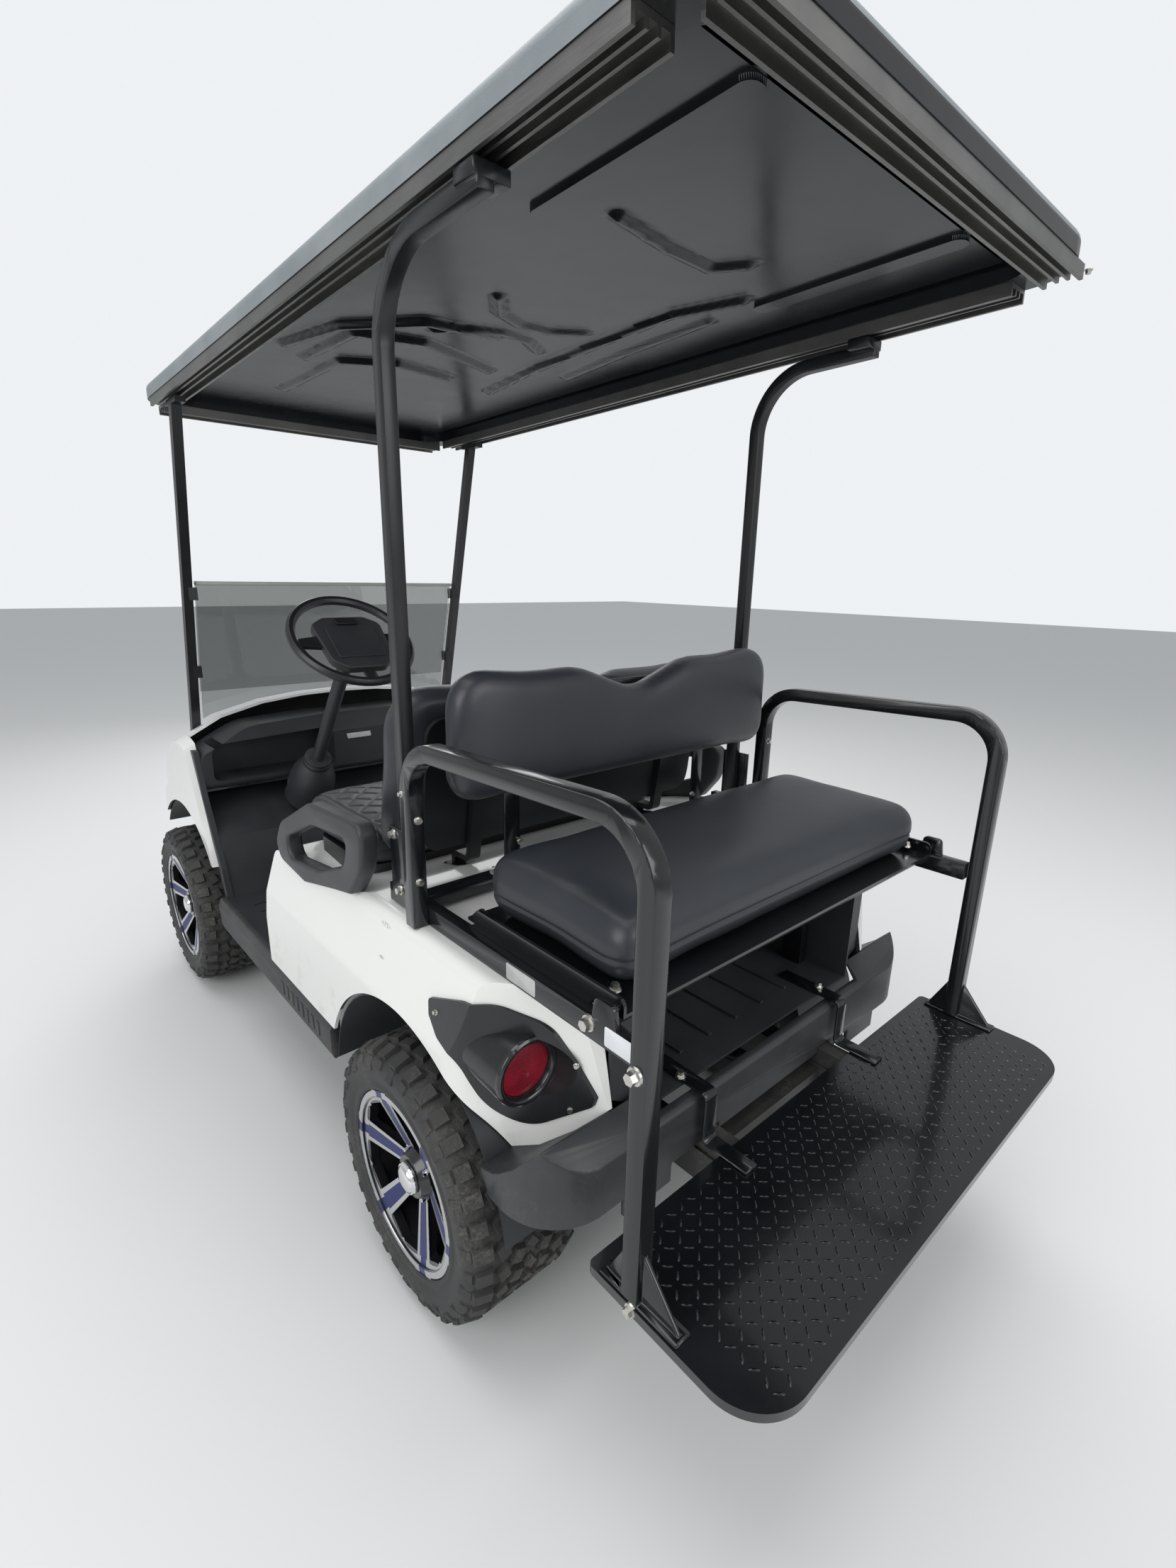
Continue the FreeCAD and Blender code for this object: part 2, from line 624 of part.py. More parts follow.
def make_rear_body():
    outer = rear_form(0)
    inner = rear_form(d.body_wall)
    low = d.floor_top + d.fit_gap
    tools = [inner, block(-d.rear_reach, d.wheelbase, -WIDE, WIDE, 0, low)]
    tools += arch_tool(d.arch_centre, d.arch_radius, 330)
    tools.append(block(-d.rear_reach, d.bag_front, -d.bag_half, d.bag_half, low - 80, deck(60)))
    lip = d.wing_half - d.body_wall
    tools.append(block(-d.rear_reach, -d.wing_rear + d.wing_lean + 14, -lip, lip, low - 80,
                       deck(60)))
    tools.append(slab("xy", [(d.front_seat_rear + 70, -d.bag_half - 20, 30),
                             (d.body_front - 130, -d.bag_half - 20, 30),
                             (d.body_front - 130, d.bag_half + 20, 30),
                             (d.front_seat_rear + 70, d.bag_half + 20, 30)],
                      deck(-112), deck(88)))
    tools.append(under_wing(0))
    tools += [drum((x, y, deck(0)), (0, 0, 1), 14, 60) for x, y in bar_holes()]
    for label, side in SIDES:
        tools.append(on_side(lamp_drum(d.lamp_ring + d.fit_gap, -140, 60 + d.fit_gap), side))
        oval = slab("xy", [(LEG_X - 46, -24, 23), (LEG_X + 46, -24, 23), (LEG_X + 46, 24, 23),
                           (LEG_X - 46, 24, 23)], deck(-60), deck(40))
        oval.translate(Vector(0, side * LEG_Y, 0))
        tools.append(oval)
    shell = outer.cut(tools)
    knuckles = []
    for label, side in SIDES:
        middle = (d.hinge_x, side * HINGE_Y, deck(-d.hinge_drop))
        web = block(d.hinge_x - 5, d.hinge_x + 5, side * HINGE_Y - 19, side * HINGE_Y + 19,
                    deck(-d.hinge_drop - 30), deck(-d.hinge_drop))
        knuckles += [drum(middle, (0, 1, 0), d.hinge_radius, 38), web,
                     drum(middle, (0, 1, 0), 3.5, 118)]
    body = joined([shell] + knuckles)
    return subpart("rear_body", shaped("RearBody", body))


def make_bagwell():
    wall = d.tray_wall
    gap = d.fit_gap
    half = d.bag_half - gap
    rear = -d.body_rear + 10
    outer = block(rear, d.bag_front - gap, -half, half, d.bag_floor - wall, deck(-6))
    inner = block(rear - 20, d.bag_front - gap - wall, -half + wall, half - wall,
                  d.bag_floor, deck(20))
    ribs = [block(-330, -60, y - 5, y + 5, d.bag_floor, d.bag_floor + 5)
            for y in (-180, -90, 0, 90, 180)]
    wings = []
    for label, side in SIDES:
        edge = d.wing_half - d.body_wall - 4
        wing = slab("yz", [(half - wall, d.bag_floor - wall), (edge, d.bag_floor + 40),
                           (edge, deck(-30)), (half - wall, deck(-6))],
                    -d.wing_rear + 12, -d.wing_rear + 12 + wall)
        wings.append(on_side(wing, side))
    tray = joined([outer.cut(inner)] + ribs + wings)
    return subpart("bagwell", shaped("Bagwell", tray))


def make_rear_bumper():
    def form(inset):
        half = d.bumper_half - inset
        rear = -d.bumper_rear + inset
        corner = d.bumper_corner - inset
        plan = slab("xy", [(-100, half, 0), (rear, half, corner), (rear, -half, corner),
                           (-100, -half, 0)], d.bumper_low, deck(0))
        edge = [(-back, d.floor_top + rise - d.fit_gap - inset) for back, rise in WING_EDGE]
        side = [(edge[0][0], d.bumper_low - inset)] + edge + [
            (rear, d.bumper_high - inset), (rear, d.bumper_low - inset)]
        return plan.common(slab("xz", side, -WIDE, WIDE))
    bed = block(-d.rear_reach, 0, -d.bag_half - 6, d.bag_half + 6,
                d.bag_floor - d.tray_wall - d.fit_gap, deck(0))
    back = block(-d.wing_rear, -d.wing_rear + 40, -d.wing_half, d.wing_half, d.bag_floor - 8,
                 deck(0))
    tabs = [block(-d.bumper_rear, -d.bumper_rear + d.bumper_wall, side * 370 - 60,
                  side * 370 + 60, d.bumper_low - 40, d.bumper_low + 10) for side in (1, -1)]
    notches = [block(-d.rear_reach, 0, side * d.rail_half - 24, side * d.rail_half + 24,
                     0, d.plate_top - d.plate_thick + 3) for label, side in SIDES]
    bumper = joined([form(0).cut(form(d.bumper_wall))] + tabs)
    bumper = bumper.cut([bed, back] + notches + arch_tool(d.arch_centre, d.arch_radius, 330))
    return subpart("rear_bumper", shaped("RearBumper", bumper))


# Tail lamps: a pod that wraps the body's rear corner, with a tube that faces back
POD = (
    # ahead of the lamp's face, above the lamp's middle, corner radius
    (210, 62, 8), (202, 34, 12), (168, 6, 30), (108, -10, 60), (62, -100, 90), (0, -122, 50),
    (-84, -64, 8), (-88, -46, 8), (-60, 18, 60), (-24, 84, 60), (50, 112, 60), (110, 100, 90),
)


def lamp_drum(radius, start, end):
    """A cylinder on the left lamp's axis between two places ahead of its face."""
    middle = (-d.lamp_x + (start + end) / 2, d.lamp_y, d.lamp_z)
    return drum(middle, (1, 0, 0), radius, end - start)


def make_lamps():
    outer = rear_form(-5)
    out = rear_form(-d.fit_gap)
    outline = [(-d.lamp_x + ahead, d.lamp_z + rise, radius) for ahead, rise, radius in POD]
    skin = outer.cut(out).common(slab("xz", outline, d.bag_half, WIDE))
    ring = d.lamp_ring
    bowl = lamp_drum(ring, -130, 1).cut(lamp_drum(ring - 5, -140, 1)).common(outer)
    nose = Part.makeCone(ring, 22, 120, Vector(-d.lamp_x + 99, d.lamp_y, d.lamp_z),
                         Vector(1, 0.42, 0.16))
    nose = nose.common(block(-d.lamp_x, d.front_seat_rear, d.bag_half, d.body_half + 4, 0,
                             deck(0))).cut(out)
    well = lamp_drum(d.lens_radius + d.fit_gap, -1, 44)
    pod = joined([skin.cut(lamp_drum(ring - 5, -140, 0)), bowl, lamp_drum(ring, 0, 60),
                  lamp_drum(ring, 30, 100).cut(out), nose]).cut(well)
    lens = lamp_drum(d.lens_radius, 4, 24)
    subpart("lamp_pods", shaped("LampPods", both_sides(pod)))
    subpart("tail_lenses", shaped("TailLenses", both_sides(lens)))


# Front cowl: sections across the cart, each with an arched hood and nose
def cowl_form(inset):
    """The cowl's outer form, or a parallel one inside it, from sections across the cart."""
    sections = []
    for step in range(-4, 5):
        share = step / 4
        y = share * (d.cowl_half - inset)
        fall = share * share
        steep = fall * fall
        rear_top = d.cowl_top - 70 * fall - (d.cowl_top - 70 - d.cowl_side_top) * steep
        middle = rear_top - 25 + 5 * fall
        nose_top = d.cowl_nose - 60 * fall - 70 * steep
        back = 13 + 60 * fall + 40 * steep
        low = d.cowl_low + 15 * fall
        reach = d.front_reach - back - inset
        a = Vector(front(-d.cowl_rear + inset), y, low + inset)
        b = Vector(front(-140 + inset), y, rear_top - inset)
        c = Vector(front(reach * 0.72), y, nose_top - inset)
        e = Vector(front(reach * 0.97), y, low + inset)
        hood = Part.Arc(b, Vector(front(60), y, middle - inset), c).toShape()
        bulge = Vector(front(reach), y, (nose_top + low) / 2 + 30)
        nose = Part.Arc(c, bulge, e).toShape()
        ends = [Part.LineSegment(a, b).toShape(), hood, nose, Part.LineSegment(e, a).toShape()]
        sections.append(Part.Wire(ends))
    return Part.makeLoft(sections, True, True)


def headlamp_tool(side, gap):
    eye = [(side * 330, 612, 20), (side * 470, 628, 26), (side * 500, 716, 26),
           (side * 360, 690, 30)]
    centre = (side * 415, 662)
    grown = [(centre[0] + (u - centre[0]) * (1 + gap / 80), centre[1] + (v - centre[1])
              * (1 + gap / 50), r) for u, v, r in eye]
    return slab("yz", grown, d.wheelbase + 120, d.wheelbase + 400)


def make_cowl():
    outer = cowl_form(0)
    inner = cowl_form(d.cowl_wall)
    tools = [inner] + arch_tool(d.wheelbase, d.front_arch_radius, d.well_half)
    rear = front(-d.cowl_rear - 130)
    low = d.cowl_low - 105
    tools.append(slab("xz", [(rear, low), (front(-50), low), (front(-50), d.cowl_side_top + 20),
                             (front(-d.dash_front), d.dash_high + 2),
                             (front(-d.dash_front), d.cowl_top + 10),
                             (front(-140), d.cowl_top + 80), (rear, d.cowl_top + 80)],
                      -d.dash_half, d.dash_half))
    tools += [headlamp_tool(side, d.fit_gap) for label, side in SIDES]
    cowl = outer.cut(tools)
    subpart("front_cowl", shaped("FrontCowl", cowl))
    skin = cowl_form(-3).cut(cowl_form(d.cowl_wall + 14))
    lamps = [skin.common(headlamp_tool(side, 0)) for label, side in SIDES]
    subpart("headlamps", shaped("Headlamps", Part.makeCompound(lamps)))


# Inner fenders: a half ring over each front wheel with a wall on the inside
def make_liners():
    x = d.wheelbase
    radius = d.front_arch_radius - d.fit_gap
    outer_y = d.cowl_half - d.cowl_wall - 4
    solids = []
    for label, side in SIDES:
        length = outer_y - d.well_half
        ring = drum((x, d.well_half + length / 2, d.arch_height), (0, 1, 0), radius, length)
        hollow = drum((x, d.well_half + d.liner_wall + length / 2, d.arch_height), (0, 1, 0),
                      radius - d.liner_wall, length)
        lower = block(x - 500, x + 500, 0, 900, -200, 520)
        solids.append(on_side(ring.cut(hollow).cut(lower), side))
    return subpart("front_liners", shaped("FrontLiners", Part.makeCompound(solids)))


def make_front_bumper():
    front = d.wheelbase + d.front_reach
    rear = d.wheelbase + d.rail_front + d.fit_gap
    half = d.well_half - 4
    plan = [(rear, half, 0), (front - 34, half, 40), (front, half - 90, 120),
            (front, -half + 90, 120), (front - 34, -half, 40), (rear, -half, 0)]
    outer = slab("xy", plan, 360, 500)
    hollow = block(rear + 12, front - 16, -half + 14, half - 14, 372, 490)
    return subpart("front_bumper", shaped("FrontBumper", outer.cut(hollow)))


# Dash with a deep pocket on each side, and the frames at its ends
def make_dash():
    half = d.dash_half
    rear = front(-d.dash_rear)
    ahead = front(-d.dash_front)
    side = [(rear, d.dash_low, 20), (rear - 6, d.dash_high - 60, 10),
            (rear + 30, d.dash_high, 22), (ahead, d.dash_high - 2, 0), (ahead, d.dash_low, 0)]
    arch = [(-half, d.dash_low), (half, d.dash_low), (half, d.dash_high - 92, 30),
            (half * 0.72, d.dash_high - 14, 200), (0, d.dash_high + 6, 900),
            (-half * 0.72, d.dash_high - 14, 200), (-half, d.dash_high - 92, 30)]
    shell = slab("xz", side, -half, half).common(
        slab("yz", arch, rear - 60, ahead + 60))
    tools = []
    for label, sign in SIDES:
        low = d.dash_low + 28
        end = d.dash_half - 30
        spots = [(sign * 110, low, 22), (sign * end, low, 22), (sign * end, d.dash_high - 60, 40),
                 (sign * 110, d.dash_high - 44, 30)]
        tools.append(slab("yz", spots, rear - 40, rear + d.pocket_depth))
    tools.append(column_bar(d.boot_radius + 4, 420, 800))
    return subpart("dash", shaped("Dash", shell.cut(tools)))


def make_end_frames():
    gap = d.fit_gap
    high = d.cowl_side_top
    rim = [(front(-377), d.floor_top + gap, 0), (front(-345), high - 360, 60),
           (front(-300), high - 280, 60), (front(-225), high - 145, 120),
           (front(-177), high, 12), (front(-140) - 2 * gap, high, 0),
           (front(-d.cowl_rear) - 2 * gap, high - 360, 0),
           (front(-339), d.floor_top + gap, 0)]
    band = slab("xz", rim, d.dash_half + gap, d.body_half - d.rocker_wall - gap)
    band = band.cut([cowl_form(-gap)] + arch_tool(d.wheelbase, d.front_arch_radius,
                                                  d.well_half))
    return subpart("cowl_frames", shaped("CowlFrames", both_sides(band)))


# Steering column and wheel on one slanting axis
def column_axis():
    slope = math.radians(d.column_angle)
    return Vector(math.cos(slope), 0, -math.sin(slope))


def column_point(distance):
    return Vector(front(-d.wheel_back), d.wheel_y, d.wheel_z) + column_axis() * distance


def column_bar(radius, start, end):
    return Part.makeCylinder(radius, end - start, column_point(start), column_axis())


def make_column():
    tube = column_bar(d.column_radius, 40, 800)
    boot = Part.makeCone(40, d.boot_radius, 190, column_point(560), column_axis())
    collar = column_bar(44, 540, 566)
    column = joined([tube, boot, collar]).cut(toe_form(d.fit_gap))
    return subpart("steering_column", shaped("SteeringColumn", column))


def make_steering_wheel():
    axis = column_axis()
    centre = column_point(0)
    corners = [Vector(d.wheel_ring + d.wheel_grip * math.cos(turn), 0,
                      d.wheel_grip * math.sin(turn))
               for turn in (math.radians(step * 45 + 22.5) for step in range(8))]
    section = Part.Face(Part.Wire(Part.makePolygon(corners + corners[:1]).Edges))
    ring = section.revolve(Vector(0, 0, 0), Vector(0, 0, 1), 360)
    pad = slab("xy", [(-66, -40, 20), (-40, -92, 20), (44, -74, 24), (64, -40, 24),
                      (64, 40, 24), (44, 74, 24), (-40, 92, 20), (-66, 40, 20)], -16, 10)
    spokes = [slab("xy", [(-34, side * 60), (22, side * 60), (6, side * (d.wheel_ring - 4)),
                          (-20, side * (d.wheel_ring - 4))], -7, 5) for side in (1, -1)]
    foot = slab("xy", [(-14, -12), (14, -12), (14, 12), (-14, 12)], -7, 5)
    foot.translate(Vector(-d.wheel_ring + 20, 0, 0))
    arm = block(-d.wheel_ring + 4, -50, -16, 16, -7, 4)
    hub = drum((0, 0, -22), (0, 0, 1), 46, 36 - 2 * d.fit_gap)
    wheel = joined([ring, pad, foot, arm, hub] + spokes)
    wheel.rotate(Vector(0, 0, 0), Vector(0, 1, 0), d.column_angle - 90)
    wheel.translate(centre)
    return subpart("steering_wheel", shaped("SteeringWheel", wheel))


def make_pedals():
    solids = []
    for y, wide in ((300, 70), (180, 44)):
        pad = block(0, 12, y - wide / 2, y + wide / 2, 0, 90)
        arm = block(12, 60, y - 7, y + 7, 20, 60)
        pedal = joined([pad, arm])
        pedal.rotate(Vector(0, 0, 0), Vector(0, 1, 0), 22)
        pedal.translate(Vector(front(23 - d.toe_reach - 46), 0, d.floor_top + 45))
        solids.append(pedal.cut(toe_form(d.fit_gap)))
    return subpart("pedals", shaped("Pedals", Part.makeCompound(solids)))


# Windshield in the plane of the front struts, upper half folded down in front
def strut_x(z):
    """Place along the cart of the front struts' middle line at a height."""
    return front(d.strut_foot) - (z - d.strut_foot_height) * d.strut_lean / d.strut_rise


def make_windshield():
    high = d.pane_high
    panes = []
    for offset, low in ((0, d.pane_foot), (d.pane_thick + 9, d.pane_low)):
        corners = [(strut_x(low) + offset, low), (strut_x(low) + offset + d.pane_thick, low),
                   (strut_x(high) + offset + d.pane_thick, high), (strut_x(high) + offset, high)]
        pane = slab("xz", corners, -d.pane_half, d.pane_half)
        panes.append(pane.cut(cowl_form(-d.pane_gap)))
    return subpart("windshield", shaped("Windshield", Part.makeCompound(panes)))


def roof_under(x):
    """Height of the roof's channels above a place along the cart."""
    slope = math.tan(math.radians(d.roof_angle))
    return d.roof_height - d.channel_height - (x + d.roof_rear) * slope


def make_front_struts():
    form = cowl_form(-d.fit_gap)
    y = d.front_strut_half
    top = roof_under(front(-215)) - 8
    low = d.strut_foot_height - 56
    strut = bar([(strut_x(low), y, low), (strut_x(top), y, top)], d.front_strut_width, 0)
    strut = strut.cut(form)
    strut = sorted(strut.Solids, key=lambda solid: solid.Volume)[-1]
    foot_front = strut_x(top) + 40
    foot = block(foot_front - 100, foot_front, y - 14, y + 14, top - 8,
                 roof_under(foot_front) - d.fit_gap)
    clips = [block(strut_x(z) - 20, strut_x(z) + 22, d.pane_half + d.fit_gap, y,
                   z - 20, z + 20) for z in (d.pane_low + 74, d.pane_high - 33)]
    strut = joined([strut, foot] + clips)
    return subpart("front_struts", shaped("FrontStruts", both_sides(strut)))


def make_rear_struts():
    """Square tubes that stand on the side rails and run back under the roof's channels."""
    drop = d.strut_width / 2 + d.fit_gap + d.clamp_height
    end = -d.strut_reach
    path = [(d.strut_x, d.strut_half, deck(d.rail_rise) + d.fit_gap),
            (d.strut_x, d.strut_half, roof_under(d.strut_x) - drop),
            (end, d.strut_half, roof_under(end) - drop)]
    strut = bar(path, d.strut_width, d.strut_bend)
    under = roof_under(end) - drop
    clamp = block(end, end + 50, d.strut_half - 41, d.strut_half + 19, under,
                  roof_under(end + 50) - d.fit_gap)
    strut = joined([strut, clamp])
    return subpart("rear_struts", shaped("RearStruts", both_sides(strut)))


# Roof: a domed tray with ribs below, on channels along all four edges
def roof_place(shape):
    shape.rotate(Vector(0, 0, 0), Vector(0, 1, 0), d.roof_angle)
    shape.translate(Vector(-d.roof_rear, 0, d.roof_height))
    return shape


def make_roof():
    length = d.roof_length
    half = d.roof_half
    corner = d.roof_corner
    plan = [(0, -half, corner), (length, -half, corner), (length, half, corner),
            (0, half, corner)]
    outer = slab("xy", plan, 0, d.roof_thick)
    top_edges = [edge for edge in outer.Edges
                 if all(abs(vertex.Z - d.roof_thick) < 0.01 for vertex in edge.Vertexes)]
    outer = outer.makeFillet(d.roof_thick * 0.5, top_edges)
    rim = d.channel_width + 6
    under = [(rim, -half + rim, corner - 40), (length - rim, -half + rim, corner - 40),
             (length - rim, half - rim, corner - 40), (rim, half - rim, corner - 40)]
    ceiling = d.roof_thick - d.roof_skin
    hollow = slab("xy", under, -5, ceiling)
    ribs = [slab("xy", [(rim + 60, y - 22, 20), (length * 0.25, y - 22, 20),
                        (length * 0.25, y + 22, 20), (rim + 60, y + 22, 20)],
                 ceiling - 14, ceiling + 4) for y in (-300, 300)]
    ribs += [slab("xy", [(length * 0.3, -half + rim + 60, 80),
                         (length - rim - 70, -half + rim + 60, 80),
                         (length - rim - 70, half - rim - 60, 80),
                         (length * 0.3, half - rim - 60, 80)], ceiling - 5, ceiling + 4)]
    roof = joined([outer.cut(hollow)] + ribs)
    return subpart("roof", shaped("Roof", roof_place(roof)))


CHANNEL = (
    # share of the channel's width, share of its height below the roof
    (0.0, 0.0), (1.0, 0.0), (1.0, 1.0), (0.9, 1.0), (0.9, 0.35), (0.68, 0.35), (0.68, 0.8),
    (0.6, 0.8), (0.6, 0.35), (0.4, 0.35), (0.4, 0.8), (0.32, 0.8), (0.32, 0.35), (0.1, 0.35),
    (0.1, 1.0), (0.0, 1.0),
)


def make_channels():
    wide = d.channel_width
    tall = d.channel_height
    half = d.roof_half
    gap = d.fit_gap
    start = d.roof_corner - 60
    solids = []
    for side in (1, -1):
        corners = [(side * (half - 2 - share * wide), -gap - drop * tall)
                   for share, drop in CHANNEL]
        solids.append(roof_place(slab("yz", corners, start + wide, d.roof_length - start - wide)))
    for place_x, sign in ((2, 1), (d.roof_length - 2, -1)):
        corners = [(place_x + sign * share * wide, -gap - drop * tall)
                   for share, drop in CHANNEL]
        solids.append(roof_place(slab("xz", corners, -half + start, half - start)))
    return subpart("roof_channels", shaped("RoofChannels", Part.makeCompound(solids)))


# Armrests: a closed loop on each side of the front seat
def make_armrests():
    nose = d.body_front
    outer = [(nose - 562, deck(-6), 0), (nose - 470, deck(-26), 0), (nose - 295, deck(-68), 0),
             (nose - 148, deck(-55), 24), (nose - 120, deck(-12), 40), (nose - 166, deck(52), 50),
             (nose - 360, deck(148), 80), (nose - 640, deck(168), 44), (nose - 622, deck(66), 70)]
    hole = [(nose - 526, deck(52), 30), (nose - 396, deck(-4), 40), (nose - 222, deck(-26), 24),
            (nose - 206, deck(18), 24), (nose - 372, deck(92), 50), (nose - 558, deck(116), 30)]
    inner = d.shoulder_half - 20
    wide = d.body_half - 14
    loop = slab("xz", outer, inner, wide)
    soft = [edge for edge in loop.Edges
            if all(vertex.Z > deck(20) for vertex in edge.Vertexes)
            and abs(edge.Vertexes[0].Y - edge.Vertexes[-1].Y) < 1]
    loop = loop.makeFillet(12, soft)
    loop = loop.cut([slab("xz", hole, inner - 5, wide + 5), rear_form(-d.fit_gap)])
    return subpart("armrests", shaped("Armrests", both_sides(loop)))


# Seats


def make_front_seat():
    gap = d.fit_gap
    low = deck(-d.front_seat_drop)
    half = d.front_seat_half - 30
    rear = d.front_seat_rear + 40
    edge = d.hinge_x - 28
    board = slab("xy", [(rear, -half, 40), (edge, -half, 40), (edge, half, 40),
                        (rear, half, 40)], low - 70, low - gap)
    board = board.cut(rear_form(-gap))
    leaves = []
    bores = []
    for label, side in SIDES:
        axis_z = deck(-d.hinge_drop)
        leaf = block(edge - 20, d.hinge_x, side * HINGE_Y - 58, side * HINGE_Y + 58, axis_z + 3,
                     axis_z + d.hinge_radius)
        for part in (-1, 1):
            middle = (d.hinge_x, side * HINGE_Y + part * 39.5, axis_z)
            leaves.append(drum(middle, (0, 1, 0), d.hinge_radius, 37))
        leaves.append(leaf)
        bores.append(block(d.hinge_x - 14, d.hinge_x + 40, side * HINGE_Y - 20.5,
                           side * HINGE_Y + 20.5, axis_z - 30, low))
        bores.append(drum((d.hinge_x, side * HINGE_Y, axis_z), (0, 1, 0), 3.5 + gap, 140))
    base = joined([board] + leaves).cut(bores)
    subpart("front_seat_base", shaped("FrontSeatBase", base))
    seat = slab("xz", [(d.front_seat_rear, low, 14), (d.front_seat_front - 10, low, 20),
                       (d.front_seat_front, low + d.front_seat_thick - 20, 30),
                       (d.front_seat_rear, low + d.front_seat_thick, 24)],
                -d.front_seat_half, d.front_seat_half)
    subpart("front_seat_cushion", shaped("FrontSeatCushion", seat))


def leaned(shape):
    """Tips a form back with the front backrest, about its lower edge."""
    foot = Vector(d.front_back_x + 44, 0, deck(d.front_back_rise))
    shape.rotate(foot, Vector(0, 1, 0), -d.back_lean_angle)
    return shape


def make_front_back():
    gap = d.fit_gap
    start = d.front_back_x
    low = deck(d.front_back_rise)
    high = low + d.front_back_height
    half = d.front_seat_half
    back = slab("yz", [(-half, low, 50), (half, low, 50), (half, high, 90), (60, high, 60),
                       (0, high - 22, 60), (-60, high, 60), (-half, high, 90)],
                start, start + d.front_back_thick)
    subpart("front_backrest", shaped("FrontBackrest", leaned(back)))
    wide = half - 75
    shell = slab("yz", [(-wide, low + 30, 40), (wide, low + 30, 40), (wide, high - 70, 40),
                        (-wide, high - 70, 40)], start - gap - 12, start - gap)
    behind = start - 20
    run = [(LEG_X, deck(-20)), (LEG_X, deck(19)), (behind + 4, deck(19)),
           (behind - 24, deck(200))]
    legs = [bar([(x, side * LEG_Y, z) for x, z in run], 30, 14, 14) for side in (1, -1)]
    plates = []
    inner = rear_form(d.body_wall + gap).cut(rear_form(d.body_wall + gap + 6))
    for label, side in SIDES:
        plate = block(LEG_X - 56, LEG_X + 56, side * LEG_Y - 34, side * LEG_Y + 34, deck(-50),
                      deck(10))
        plates.append(plate.common(inner))
    cushion = leaned(slab("yz", [(-WIDE, low - 200), (WIDE, low - 200), (WIDE, high + 200),
                                 (-WIDE, high + 200)], start - gap, start + 300))
    clear = block(start - 60, start + 300, -WIDE, WIDE, low - 6, high + 200)
    carrier = joined([leaned(shell)] + legs + plates).cut(cushion.common(clear))
    subpart("front_back_frame", shaped("FrontBackFrame", carrier))


def rail_inner():
    return d.seat_half + d.fit_gap + d.pan_thick + d.running_gap


def rail_outer():
    return rail_inner() + d.side_rail_width


def grab_y():
    return rail_outer() + d.grab_tube / 2


def make_seat_frame():
    inner = rail_inner()
    outer = rail_outer()
    low = deck(0) + d.fit_gap
    high = deck(d.rail_rise)
    pieces = []
    for label, side in SIDES:
        rail = block(-d.side_rail_rear, d.side_rail_front, inner, outer, low, high)
        ear = slab("xz", [(-d.flip_x - 26, high - 2, 0), (-d.flip_x + 26, high - 2, 0),
                          (-d.flip_x + 20, deck(d.flip_rise) + 20, 10),
                          (-d.flip_x - 20, deck(d.flip_rise) + 20, 10)], outer - 8, outer)
        pin = drum((-d.flip_x, (inner - d.running_gap - d.pan_thick - 2 + outer) / 2, deck(d.flip_rise)),
                   (0, 1, 0), 6, outer - inner + d.running_gap + d.pan_thick + 2)
        upright = block(-290, -240, 300, 324, d.bag_floor + d.fit_gap, high - 30)
        arm = block(-290, -240, 300, inner + 4, high - 34, high - 6)
        beside = d.strut_half + d.strut_width / 2 + d.fit_gap
        clamp = block(d.strut_x - 42, d.strut_x + 42, beside, beside + 6, low + 4, high + 130)
        bridge = block(d.strut_x - 42, d.strut_x + 42, outer - 1, beside + 6, low + 4, high - 2)
        pieces += [on_side(piece, side) for piece in (rail, ear, pin, upright, arm, clamp,
                                                      bridge)]
    for x, wide, z in ((-448, 36, high - 34), (-340, 36, high - 34), (62, 34, high - 26)):
        pieces.append(block(x, x + wide, -inner - 4, inner + 4, z, z + 26))
    frame = joined(pieces)
    holes = [drum((x, y, high), (0, 0, 1), d.bolt_radius, 80) for x, y in bar_holes()]
    return subpart("seat_frame", shaped("SeatFrame", frame.cut(holes)))


def make_straps():
    """Flat bars from the load floor out to the footplate's front edge."""
    solids = []
    for label, side in SIDES:
        path = [(-290, side * 230, d.bag_floor + 3 + d.fit_gap),
                (-d.bumper_rear - 16, side * 230, d.bag_floor + 3 + d.fit_gap),
                (-d.bumper_rear - 16, side * 230, d.plate_top + 3 + d.fit_gap),
                (-d.plate_front - 60, side * 230, d.plate_top + 3 + d.fit_gap)]
        solids.append(bar(path, 34, 12, 6))
    return subpart("footplate_straps", shaped("FootplateStraps", Part.makeCompound(solids)))


def make_grab_bars():
    top = deck(d.grab_rise)
    y = grab_y()
    for label, side in SIDES:
        foot = d.plate_top + d.fit_gap
        path = [(-d.grab_rear, y, foot), (-d.grab_rear, y, top - 8),
                (d.grab_front, y, top - 26), (d.grab_front, y, deck(0))]
        tube = bar(path, d.grab_tube, d.grab_bend)
        gusset = slab("xz", [(-d.grab_rear - 90, foot, 0), (-d.grab_rear + 60, foot, 0),
                             (-d.grab_rear + 16, foot + 86, 0),
                             (-d.grab_rear - 16, foot + 86, 0)], y - 4, y + 4)
        foot_plate = block(-d.grab_rear - 92, -d.grab_rear + 62, y - 16, y + 16, foot, foot + 5)
        grab = joined([tube, gusset, foot_plate])
        subpart("grab_bar_" + label, shaped("GrabBar_" + label, on_side(grab, side)))


